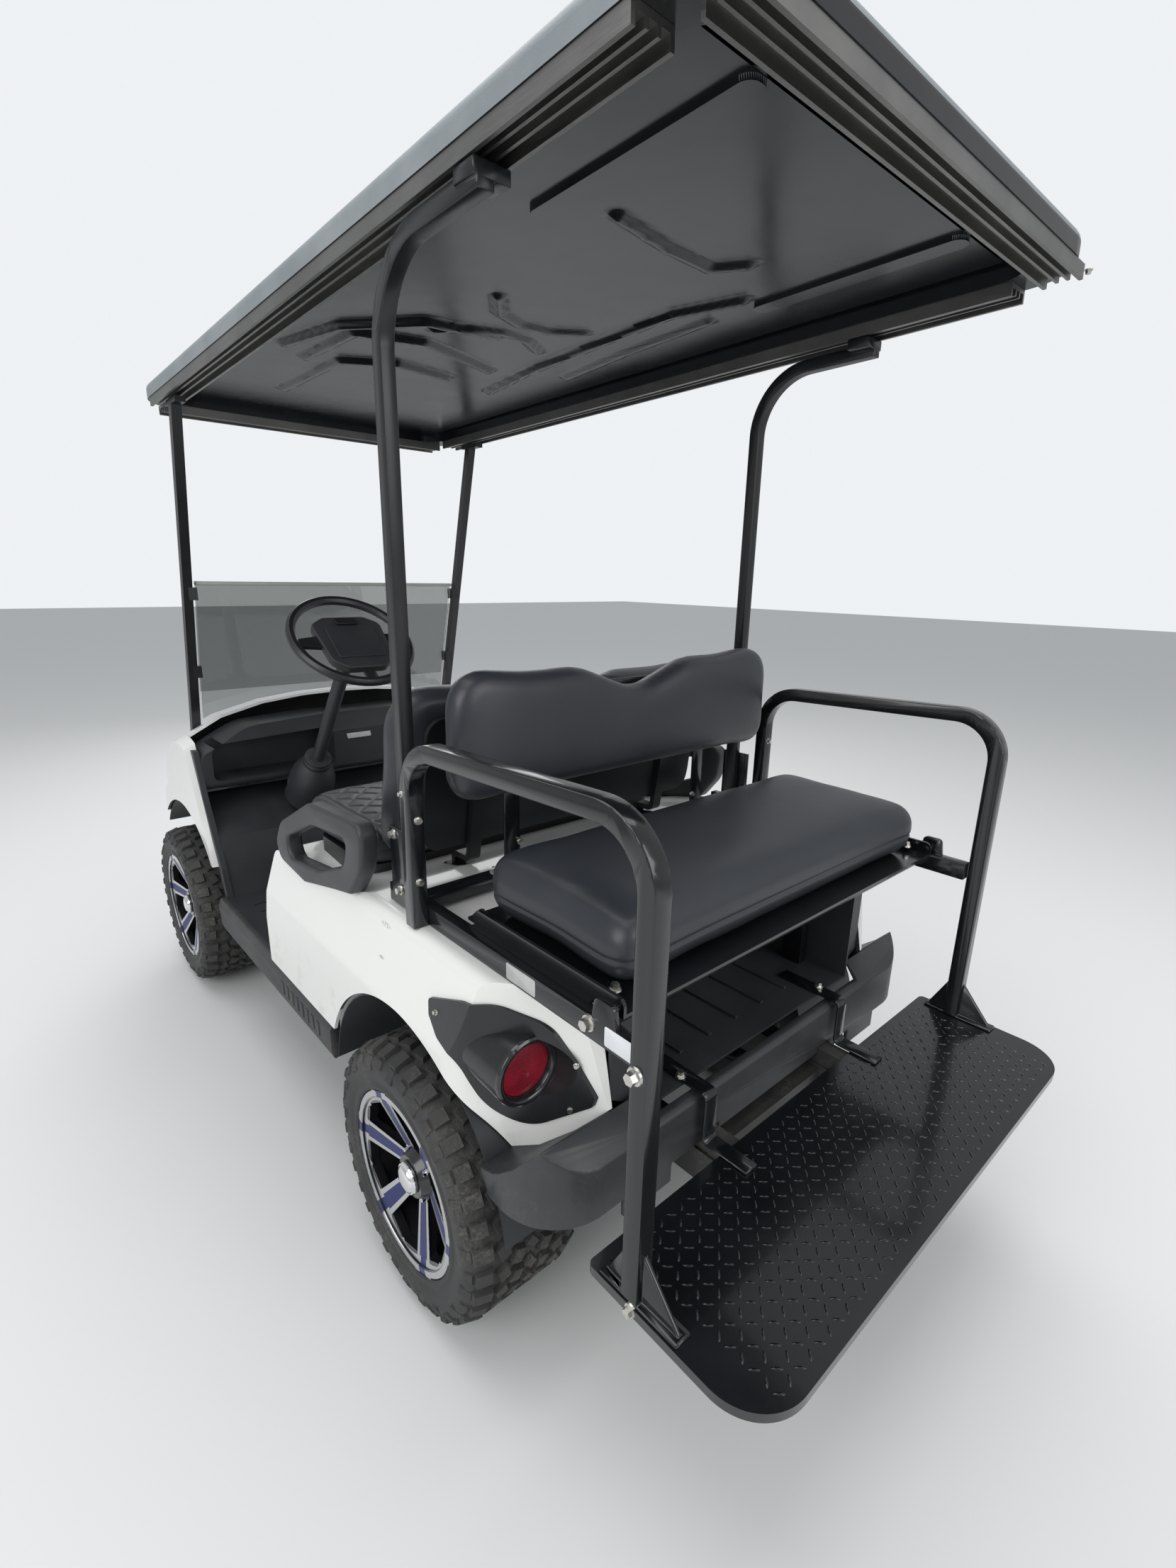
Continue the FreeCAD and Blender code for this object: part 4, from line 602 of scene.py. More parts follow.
def turned(section: Sequence[tuple[float, float]], centre: Vector, axis: Vector,
           steps: int = 48) -> bmesh.types.BMesh:
    """Turns a closed section of (radius, along) points in millimetres about an axis.

    Args:
        section: The closed section's points.
        centre: The axis's start, in metres.
        axis: The axis's direction.
        steps: Faces round the axis.

    Returns:
        The turned solid.
    """
    form = bmesh.new()
    turn = axis.normalized().to_track_quat("Z", "Y").to_matrix()
    rings = []
    for step in range(steps):
        angle = 2 * math.pi * step / steps
        ring = []
        for radius, along in section:
            spot = Vector((radius * math.cos(angle), radius * math.sin(angle), along)) / 1000
            ring.append(form.verts.new(centre + turn @ spot))
        rings.append(ring)
    for step in range(steps):
        one, two = rings[step], rings[(step + 1) % steps]
        for index in range(len(section)):
            after = (index + 1) % len(section)
            form.faces.new((one[index], one[after], two[after], two[index]))
    bmesh.ops.remove_doubles(form, verts=form.verts, dist=WELD)
    bmesh.ops.dissolve_degenerate(form, edges=form.edges, dist=1e-7)
    return form


# Stage, light and camera


@dataclass
class Studio:
    """The pale floor, the soft lamps and the camera at the photograph's place."""

    eye: Vector = field(default_factory=lambda: at(-1111.06, 1148.41, 1463.16))
    yaw: float = -42.060
    pitch: float = -16.147
    roll: float = 1.130
    focal_px: float = 1017.75
    frame_px: int = 1659
    world: float = 0.55
    sky: tuple[float, float, float, float] = (0.93, 0.965, 1.0, 1)
    backdrop: tuple[float, float, float, float] = (0.86, 0.88, 0.9, 1)
    floor: tuple[float, float, float, float] = (0.74, 0.74, 0.735, 1)
    sensor: float = 36.0
    gloss_share: float = 0.45
    aim: Vector = field(default_factory=lambda: Vector((-0.1, 0.0, 0.8)))
    # each lamp: name, place and width in metres, and watts
    lamps: tuple[tuple[str, tuple[float, float, float], float, float], ...] = (
        ("lamp_overhead", (0.2, 0.0, 5.2), 5.0, 150.0),
        ("lamp_left", (-1.6, 4.6, 3.2), 3.2, 105.0),
        ("lamp_back", (-5.2, -0.6, 3.0), 3.0, 80.0),
        ("lamp_front", (4.4, -2.0, 3.0), 3.0, 50.0))

    def build(self) -> None:
        """Builds the floor, the world's light, the lamps and the camera."""
        self.make_floor()
        self.make_world()
        for name, spot, size, power in self.lamps:
            self.add_lamp(name, Vector(spot), size, power)
        self.make_camera()

    def make_floor(self) -> None:
        """Lays a wide pale floor that shows the cart's shadow."""
        form = bmesh.new()
        bmesh.ops.create_grid(form, x_segments=1, y_segments=1, size=30.0)
        floor = stand("studio_floor", from_bmesh("studio_floor", form))
        shader = Shader("studio_floor")
        shader.set(Base_Color=self.floor, Roughness=0.9)
        floor.data.materials.append(shader.material)

    def make_world(self) -> None:
        """Sets an even sky that the camera sees as pale."""
        world = bpy.data.worlds.new("studio_world")
        bpy.context.scene.world = world
        world.use_nodes = True
        tree = world.node_tree
        plain = tree.nodes["Background"]
        plain.inputs["Color"].default_value = self.sky
        plain.inputs["Strength"].default_value = self.world
        seen = wire(tree, "ShaderNodeBackground", {"Color": self.backdrop, "Strength": 1.0})
        path = wire(tree, "ShaderNodeLightPath")
        rays = wire(tree, "ShaderNodeMath", {0: path.outputs["Is Camera Ray"],
                                             1: path.outputs["Is Transmission Ray"]},
                    operation="MAXIMUM")
        mix = wire(tree, "ShaderNodeMixShader", {"Fac": rays.outputs[0], 1: plain.outputs[0],
                                                 2: seen.outputs[0]})
        tree.links.new(mix.outputs[0], tree.nodes["World Output"].inputs["Surface"])

    def add_lamp(self, name: str, spot: Vector, size: float, power: float) -> None:
        """Adds one square soft lamp aimed at the cart's middle."""
        light = bpy.data.lights.new(name, "AREA")
        light.shape = "SQUARE"
        light.size = size
        light.energy = power
        light.specular_factor = self.gloss_share
        turn = (self.aim - spot).to_track_quat("-Z", "Y").to_matrix().to_4x4()
        stand(name, light).matrix_world = Matrix.Translation(spot) @ turn

    def make_camera(self) -> None:
        """Stands the camera where the photograph was taken."""
        yaw, pitch, roll = (math.radians(v) for v in (self.yaw, self.pitch, self.roll))
        ahead = Vector((math.cos(pitch) * math.cos(yaw), math.cos(pitch) * math.sin(yaw),
                        math.sin(pitch)))
        flat = ahead.cross(Vector((0, 0, 1))).normalized()
        over = flat.cross(ahead)
        right = flat * math.cos(roll) + over * math.sin(roll)
        up = over * math.cos(roll) - flat * math.sin(roll)
        turn = Matrix((right, up, -ahead)).transposed().to_4x4()
        lens = bpy.data.cameras.new("photo_camera")
        lens.sensor_fit = "HORIZONTAL"
        lens.sensor_width = self.sensor
        lens.lens = self.focal_px / self.frame_px * self.sensor
        lens.clip_end = 60.0
        camera = stand("photo_camera", lens)
        camera.matrix_world = Matrix.Translation(self.eye) @ turn
        bpy.context.scene.camera = camera


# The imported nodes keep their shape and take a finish


FINISH_NODES: dict[str, str] = {
    "body_gloss_white": "rear_body front_cowl",
    "bumper_moulding": "bagwell rear_bumper front_bumper armrests",
    "pod_moulding": "lamp_pods",
    "rocker_moulding": "rockers front_liners",
    "cabin_moulding": "floor_pan dash cowl_frames pedals steering_column",
    "satin_powder_coat": "front_seat_base steering_wheel rear_struts front_struts "
                         "front_back_frame",
    "gloss_powder_coat": "seat_frame footplate_straps grab_bar_left grab_bar_right footplate "
                         "rear_back_frame rear_seat_pan",
    "chassis_paint": "frame_rails rear_axle rear_springs front_axle steering_rack "
                     "knuckle_left knuckle_right",
    "zinc_plate": "tie_rods",
    "motor_paint": "drive_motor battery_pack",
    "tail_lens_red": "tail_lenses",
    "head_lens_clear": "headlamps",
    "smoke_sheet": "windshield",
    "roof_underside": "roof",
    "extruded_channel": "roof_channels",
    "tyre_tread": "tyre_front_left tyre_front_right tyre_rear_left tyre_rear_right",
    "wheel_gloss_black": "rim_front_left rim_front_right rim_rear_left rim_rear_right",
    "charcoal_vinyl": "front_seat_cushion front_backrest rear_seat_cushion rear_backrest",
}
NODE_FINISH = {node: finish for finish, nodes in FINISH_NODES.items() for node in nodes.split()}


def inner_face(middle: Vector, normal: Vector) -> bool:
    """Tells whether a body panel's face looks inwards or down under the cart."""
    inwards = normal.y * math.copysign(1.0, middle.y) < -0.25 and abs(middle.y) > 0.2
    return inwards or (normal.z < -0.6 and middle.z > 0.5)


def outer_roof(middle: Vector, normal: Vector) -> bool:
    """Tells whether a face of the roof belongs to its grey outer skin."""
    rim = middle.z > 2.035 or abs(middle.y) > 0.52
    return normal.z > 0.3 or (normal.z > -0.35 and rim)


# node, finish of the chosen faces, and the rule that chooses them
FACE_RULES: tuple[tuple[str, str, Callable[[Vector, Vector], bool]], ...] = (
    ("rear_body", "rocker_moulding", inner_face), ("front_cowl", "rocker_moulding", inner_face),
    ("roof", "roof_outer", outer_roof))


def dress_nodes(nodes: dict[str, Thing], palette: Palette) -> None:
    """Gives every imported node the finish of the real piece."""
    for name, node in nodes.items():
        material = palette[NODE_FINISH[name]]
        if not node.material_slots:
            node.data.materials.append(material)
        for slot in node.material_slots:
            slot.material = material
    for name, finish, rule in FACE_RULES:
        mesh = nodes[name].data
        mesh.materials.append(palette[finish])
        for polygon in mesh.polygons:
            if rule(polygon.center, polygon.normal):
                polygon.material_index = len(mesh.materials) - 1


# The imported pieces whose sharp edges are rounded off: node, body, slot, radius in mm
SOFT_EDGES = (
    ("rear_bumper", "root", "black_plastic", 16.0),
    ("steering_column", "root", "frame_black", 1.5),
    ("steering_wheel", "steering_wheel", "frame_black", 4.0),
    ("grab_bar_left", "root", "frame_black", 4.0), ("grab_bar_right", "root", "frame_black", 4.0),
    ("seat_frame", "root", "frame_black", 2.0), ("rear_struts", "root", "frame_black", 3.0),
    ("rockers", "root", "black_plastic", 4.0), ("footplate_straps", "root", "frame_black", 2.0),
    ("rear_back_frame", "root", "frame_black", 2.0))


SAME_PLANE = math.radians(1.0)
SHARP_EDGE = math.radians(32)


def soften(nodes: dict[str, Thing], palette: Palette) -> None:
    """Replaces sharp-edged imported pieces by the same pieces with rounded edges."""
    for name, body, slot, radius in SOFT_EDGES:
        form = bmesh.new()
        form.from_mesh(nodes[name].data)
        form.transform(nodes[name].matrix_world)
        bmesh.ops.remove_doubles(form, verts=form.verts, dist=1e-5)
        bmesh.ops.dissolve_limit(form, angle_limit=SAME_PLANE, verts=form.verts,
                                 edges=form.edges)
        thing = stand(f"{name}_soft", from_bmesh(name, form))
        bevel = thing.modifiers.new("round", "BEVEL")
        bevel.width = radius / 1000
        bevel.segments = 3
        bevel.limit_method = "ANGLE"
        bevel.angle_limit = SHARP_EDGE
        bevel.harden_normals = True
        mesh = baked(thing)
        mesh.materials.clear()
        soft = piece(f"{name}_soft", mesh, body, slot, palette[NODE_FINISH[name]], smooth=40.0)
        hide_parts(name)


# Upholstery


# the vinyl's cloth settings
VINYL_CLOTH: dict[str, object] = {
    "quality": 4, "mass": 0.4, "tension_stiffness": 25, "compression_stiffness": 25,
    "shear_stiffness": 12, "bending_stiffness": 2.5, "use_pressure": True}


@dataclass
class Pad:
    """One foam cushion under sewn vinyl.

    Its start form is an outline pushed through a thickness with rounded rims. The vinyl is
    then blown up by a cloth simulation, capped, and sewn lines are pressed in.
    """

    name: str
    node: str
    body: str
    outline: Sequence[tuple[float, float, float]]
    place: Callable[[float, float, float], Vector]
    low: float
    high: float
    edge: float
    voxel: float = 7.0
    rounds: int = 4
    pressure: float = 4.0
    cap: float = 14.0
    spread: int = 60
    share: float = 0.6
    fill: float = 0.8
    sew: Callable[[Vector, Vector], float] | None = None
    start: list[Vector] = field(default_factory=list)

    def begin(self) -> Thing:
        """Builds the start form and gives it its cloth.

        Returns:
            The working object.
        """
        form = prism(rounded(self.outline, 10), self.place, self.low, self.high, self.edge, 6)
        bmesh.ops.triangulate(form, faces=form.faces)
        thing = stand(self.name, from_bmesh(self.name, form))
        remesh = thing.modifiers.new("even", "REMESH")
        remesh.mode = "VOXEL"
        remesh.voxel_size = self.voxel / 1000
        mesh = baked(thing)
        form = bmesh.new()
        form.from_mesh(mesh)
        for _ in range(self.rounds):
            bmesh.ops.smooth_vert(form, verts=form.verts, factor=0.5, use_axis_x=True,
                                  use_axis_y=True, use_axis_z=True)
        form.to_mesh(mesh)
        form.free()
        self.start = [vertex.co.copy() for vertex in mesh.vertices]
        thing = stand(self.name, mesh)
        cloth = thing.modifiers.new("vinyl", "CLOTH")
        setup = cloth.settings
        for word, value in VINYL_CLOTH.items():
            setattr(setup, word, value)
        setup.uniform_pressure_force = self.pressure
        setup.effector_weights.gravity = 0.0
        cloth.collision_settings.use_collision = False
        cloth.point_cache.frame_start = 1
        cloth.point_cache.frame_end = CLOTH_FRAMES
        return thing

    def settle(self, mesh: Mesh) -> None:
        """Caps how far the vinyl moved and spreads the moves evenly, which draws it taut."""
        count = len(mesh.vertices)
        places = numpy.empty(count * 3)
        mesh.vertices.foreach_get("co", places)
        first = numpy.array([tuple(spot) for spot in self.start])
        moves = places.reshape(-1, 3) - first
        length = numpy.linalg.norm(moves, axis=1, keepdims=True)
        moves *= numpy.minimum(1.0, self.cap / 1000 / numpy.maximum(length, 1e-9))
        ends = numpy.empty(len(mesh.edges) * 2, dtype=numpy.int32)
        mesh.edges.foreach_get("vertices", ends)
        one, two = ends[0::2], ends[1::2]
        lines = numpy.bincount(ends, minlength=count)[:, None]
        for _ in range(self.spread):
            total = numpy.empty_like(moves)
            for axis in range(3):
                total[:, axis] = (numpy.bincount(one, moves[two, axis], count)
                                  + numpy.bincount(two, moves[one, axis], count))
            moves = (1 - self.share) * moves + self.share * total / lines
        mesh.vertices.foreach_set("co", (first + moves).ravel())
        mesh.update()

    def end(self, thing: Thing, palette: Palette) -> Thing:
        """Args:
            thing: The working object after the last frame.
            palette: The finishes.

        Returns:
            The finished cushion.
        """
        mesh = baked(thing)
        self.settle(mesh)
        thing = stand(self.name, mesh)
        finer = thing.modifiers.new("finer", "SUBSURF")
        finer.levels = finer.render_levels = 1
        mesh = baked(thing)
        if self.sew is not None:
            normals = [vertex.normal.copy() for vertex in mesh.vertices]
            for vertex, normal in zip(mesh.vertices, normals):
                vertex.co += normal * (self.sew(vertex.co, normal) / 1000)
        mesh.materials.clear()
        cushion = piece(self.name, mesh, self.body, "vinyl", palette["charcoal_vinyl"],
                        smooth=None)
        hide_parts(self.node)
        return cushion


def groove(away: float, depth: float, width: float) -> float:
    """How far a sewn line moves the vinyl at a distance from it; inwards is negative."""
    return -depth * math.exp(-(away / width) ** 2)


def fade(*margins: float) -> float:
    """Lets a pattern fade out over the last 8 mm before the edges of its field."""
    return min(1.0, *(max(0.0, margin / 8) for margin in margins))


@dataclass
class Upholstery:
    """The four cushions with their sewn seams and diamond stitching."""

    palette: Palette
    quilt: float = 52.0
    seam: float = 3.5
    diagonal: float = 1.4142
    recline: float = 8.0
    # edges of the diamond fields: half widths, front line, top line and foot line
    seat_half: float = 440.0
    seat_front: float = 752.0
    back_half: float = 430.0
    back_top: float = 1178.0
    back_foot: float = 892.0

    def pads(self) -> list[Pad]:
        """Lists the cushions with their outlines in millimetres."""
        seat = [(-462, -484, 60), (-76, -484, 60), (-76, 484, 60), (-462, 484, 60)]
        back = [(-484, 1034, 70), (484, 1034, 70), (484, 1292, 92), (170, 1296, 190),
                (0, 1238, 150), (-170, 1296, 190), (-484, 1292, 92)]
        front = [(362, -492, 60), (792, -492, 90), (792, 492, 90), (362, 492, 60)]
        rest = [(-496, 862, 60), (496, 862, 60), (496, 1246, 118), (150, 1252, 190),
                (0, 1198, 150), (-150, 1252, 190), (-496, 1246, 118)]
        return [
            Pad("rear_seat_vinyl", "rear_seat_cushion", "rear_seat", seat, self.seat_place,
                864, 980, 50, sew=self.seat_seam),
            Pad("rear_back_vinyl", "rear_backrest", "root", back,
                lambda u, v, w: at(w, u, v), -12, 54, 30, sew=self.back_seam),
            Pad("front_seat_vinyl", "front_seat_cushion", "front_seat", front,
                at, 802, 880, 30, sew=self.seat_quilt),
            Pad("front_back_vinyl", "front_backrest", "root", rest, self.lean, 0, 84, 34,
                sew=self.back_quilt),
        ]

    def seat_place(self, x: float, y: float, z: float) -> Vector:
        """Places the rear seat's form, its rear edge a little lower."""
        share = (x + 460) / 390
        return at(x, y, z - 10 * (1 - share) * (z - 860) / 110)

    def lean(self, u: float, v: float, w: float) -> Vector:
        """Leans the front backrest back from its foot."""
        turn = math.radians(self.recline)
        rise = v - 850
        return at(330 - w * math.cos(turn) - rise * math.sin(turn), u,
                  850 + rise * math.cos(turn) - w * math.sin(turn))

    def seat_seam(self, spot: Vector, normal: Vector) -> float:
        """Presses the seam that runs round the rear seat under its crown."""
        return groove(spot.z * 1000 - 908, 3.0, self.seam) * (1 - abs(normal.z))

    def back_seam(self, spot: Vector, normal: Vector) -> float:
        """Presses the seam that joins the rear backrest's face and side."""
        depth = (spot.x - AXLE_X) * 1000
        return groove(depth - 34, 2.6, self.seam) * (1 - abs(normal.x))

    def diamonds(self, u: float, v: float) -> float:
        """Depth of the diamond stitching at a place on a face, in millimetres."""
        step = self.quilt
        near = min(abs((line / step + 0.5) % 1 - 0.5) * step
                   for line in ((u + v) / self.diagonal, (u - v) / self.diagonal))
        return groove(near, 3.2, 5.0)

    def seat_quilt(self, spot: Vector, normal: Vector) -> float:
        """Sews the diamonds into the front seat's top, inside a plain border."""
        x, y = (spot.x - AXLE_X) * 1000, spot.y * 1000
        seam = groove(spot.z * 1000 - 838, 2.6, self.seam) * (1 - abs(normal.z))
        if normal.z < 0.3:
            return seam
        inside = fade(self.seat_half - abs(y), self.seat_front - x)
        border = groove(abs(y) - self.seat_half - 6, 3.0, 4.0)
        return seam + self.diamonds(x, y) * inside + border

    def back_quilt(self, spot: Vector, normal: Vector) -> float:
        """Sews the diamonds into the front of the front backrest."""
        y, z = spot.y * 1000, spot.z * 1000
        if normal.x < 0.3:
            return 0.0
        inside = fade(self.back_half - abs(y), self.back_top - z, z - self.back_foot)
        return self.diamonds(y, z) * inside

    def build(self) -> None:
        """Simulates the cushions side by side and finishes each."""
        pads = self.pads()
        things = [pad.begin() for pad in pads]
        for frame in range(1, CLOTH_FRAMES + 1):
            bpy.context.scene.frame_set(frame)
        for pad, thing in zip(pads, things):
            pad.end(thing, self.palette)
        bpy.context.scene.frame_set(1)


# Small solids that repeat, made by Geometry Nodes


class Stamp(Enum):
    """The shapes that repeat: a hex bolt with its washer, a tread dash and a tyre block."""

    HEX = 6
    DASH = 12
    BLOCK = 4


# the top's width as a share of the foot's, then each drum's sides, radius, height and middle
STAMP_PARTS: dict[Stamp, tuple[float, tuple[tuple[int, float, float, float], ...]]] = {
    Stamp.HEX: (0.92, ((6, 0.5, 0.7, 0.6), (16, 0.7, 0.25, 0.125))),
    Stamp.DASH: (0.55, ((12, 0.5, 1.0, 0.5),)),
    Stamp.BLOCK: (0.86, ((4, 0.7071, 1.0, 0.5),)),
}


def frame_of(out: Vector, along: Vector | None = None) -> Matrix:
    """Builds a turn whose z axis points out of a surface.

    Args:
        out: The surface's direction.
        along: The direction of the x axis, or None where it doesn't matter.

    Returns:
        The turn as a 3 by 3 matrix.
    """
    up = out.normalized()
    guide = along or (Vector((0, 0, 1)) if abs(up.z) < 0.9 else Vector((1, 0, 0)))
    first = (guide - up * guide.dot(up)).normalized()
    return Matrix((first, up.cross(first), up)).transposed()


@dataclass
class Repeats:
    """Many small solids on one body: points with a turn and a size, stamped by a node group."""

    name: str
    body: str
    slot: str
    stamp: Stamp
    spin: float = 0.0
    seed: int = 11
    spots: list[tuple[Vector, Vector, Vector]] = field(default_factory=list)

    def add(self, spot: Vector, turn: Matrix, size: tuple[float, float, float]) -> None:
        """Adds one solid by its foot, its turn and its size in millimetres."""
        self.spots.append((spot, Vector(turn.to_euler()), Vector(size) / 1000))

    def group(self) -> bpy.types.NodeTree:
        """Builds the node group that stamps the solids.

        Returns:
            The group, with its inputs named.
        """
        group = bpy.data.node_groups.new(f"{self.name}_stamp", "GeometryNodeTree")
        for word, kind in (("Points", "Geometry"), ("Scale", "Float"), ("Spin", "Float"),
                           ("Seed", "Int"), ("Finish", "Material")):
            group.interface.new_socket(word, in_out="INPUT", socket_type=f"NodeSocket{kind}")
        group.interface.new_socket("Solids", in_out="OUTPUT", socket_type="NodeSocketGeometry")
        enter = wire(group, "NodeGroupInput").outputs
        turn = wire(group, "FunctionNodeEulerToRotation", {"Euler": self.read(group, "turn")})
        chance = wire(group, "FunctionNodeRandomValue", {3: enter["Spin"], "Seed": enter["Seed"]})
        about = wire(group, "ShaderNodeCombineXYZ", {"Z": chance.outputs[1]})
        extra = wire(group, "FunctionNodeEulerToRotation", {"Euler": about.outputs["Vector"]})
        both = wire(group, "FunctionNodeRotateRotation",
                    {"Rotation": turn.outputs["Rotation"],
                     "Rotate By": extra.outputs["Rotation"]}, rotation_space="LOCAL")
        size = wire(group, "ShaderNodeVectorMath",
                    {0: self.read(group, "size"), "Scale": enter["Scale"]}, operation="SCALE")
        placed = wire(group, "GeometryNodeInstanceOnPoints",
                      {"Points": enter["Points"], "Instance": self.shape(group),
                       "Rotation": both.outputs["Rotation"], "Scale": size.outputs["Vector"]})
        real = wire(group, "GeometryNodeRealizeInstances",
                    {"Geometry": placed.outputs["Instances"]})
        dress = wire(group, "GeometryNodeSetMaterial",
                     {"Geometry": real.outputs["Geometry"], "Material": enter["Finish"]})
        wire(group, "NodeGroupOutput", {"Solids": dress.outputs["Geometry"]})
        return group

    def read(self, group: bpy.types.NodeTree, word: str) -> Socket:
        """Reads a vector that each point carries."""
        return wire(group, "GeometryNodeInputNamedAttribute", {"Name": word},
                    data_type="FLOAT_VECTOR").outputs["Attribute"]

    def shape(self, group: bpy.types.NodeTree) -> Socket:
        """Adds the stamp's shape, one unit wide and one high above its foot."""
        taper, parts = STAMP_PARTS[self.stamp]
        join = wire(group, "GeometryNodeJoinGeometry")
        for sides, radius, height, middle in parts:
            drum = wire(group, "GeometryNodeMeshCone",
                        {"Vertices": sides, "Radius Bottom": radius,
                         "Radius Top": radius * taper, "Depth": height})
            square = math.pi / 4 if sides == 4 else 0.0
            move = wire(group, "GeometryNodeTransform",
                        {"Geometry": drum.outputs["Mesh"],
                         "Translation": (0, 0, middle - height / 2),
                         "Rotation": (0, 0, square)})
            group.links.new(move.outputs["Geometry"], join.inputs["Geometry"])
        return join.outputs["Geometry"]

    def mesh(self, finish: bpy.types.Material) -> Mesh:
        """Stamps the solids into one mesh with the given finish."""
        mesh = bpy.data.meshes.new(self.name)
        mesh.from_pydata([spot for spot, _, _ in self.spots], [], [])
        for word, column in (("turn", 1), ("size", 2)):
            layer = mesh.attributes.new(word, "FLOAT_VECTOR", "POINT")
            for entry, row in zip(layer.data, self.spots):
                entry.vector = row[column]
        thing = stand(self.name, mesh)
        group = self.group()
        stamp = thing.modifiers.new("stamp", "NODES")
        stamp.node_group = group
        values = {"Scale": 1.0, "Spin": self.spin, "Seed": self.seed, "Finish": finish}
        for socket in group.interface.items_tree:
            if socket.in_out == "INPUT" and socket.name in values:
                stamp[socket.identifier] = values[socket.name]
        solid = baked(thing)
        for word in ("turn", "size"):
            if word in solid.attributes:
                solid.attributes.remove(solid.attributes[word])
        return solid

    def build(self, finish: bpy.types.Material, smooth: float = 30.0) -> None:
        """Makes the finished piece."""
        piece(self.name, self.mesh(finish), self.body, self.slot, smooth=smooth)


# Wheels


class Corner(Enum):
    """The four wheels: body name, distance ahead of the rear axle and side."""

    FRONT_LEFT = ("front_left", WHEELBASE, 1)
    FRONT_RIGHT = ("front_right", WHEELBASE, -1)
    REAR_LEFT = ("rear_left", 0.0, 1)
    REAR_RIGHT = ("rear_right", 0.0, -1)

    @property
    def word(self) -> str:
        """The corner's name as it stands in node names."""
        return self.value[0]

    @property
    def ahead(self) -> float:
        """Distance of the wheel's axle ahead of the rear axle."""
        return self.value[1]

    @property
    def side(self) -> int:
        """1 on the left and -1 on the right."""
        return self.value[2]


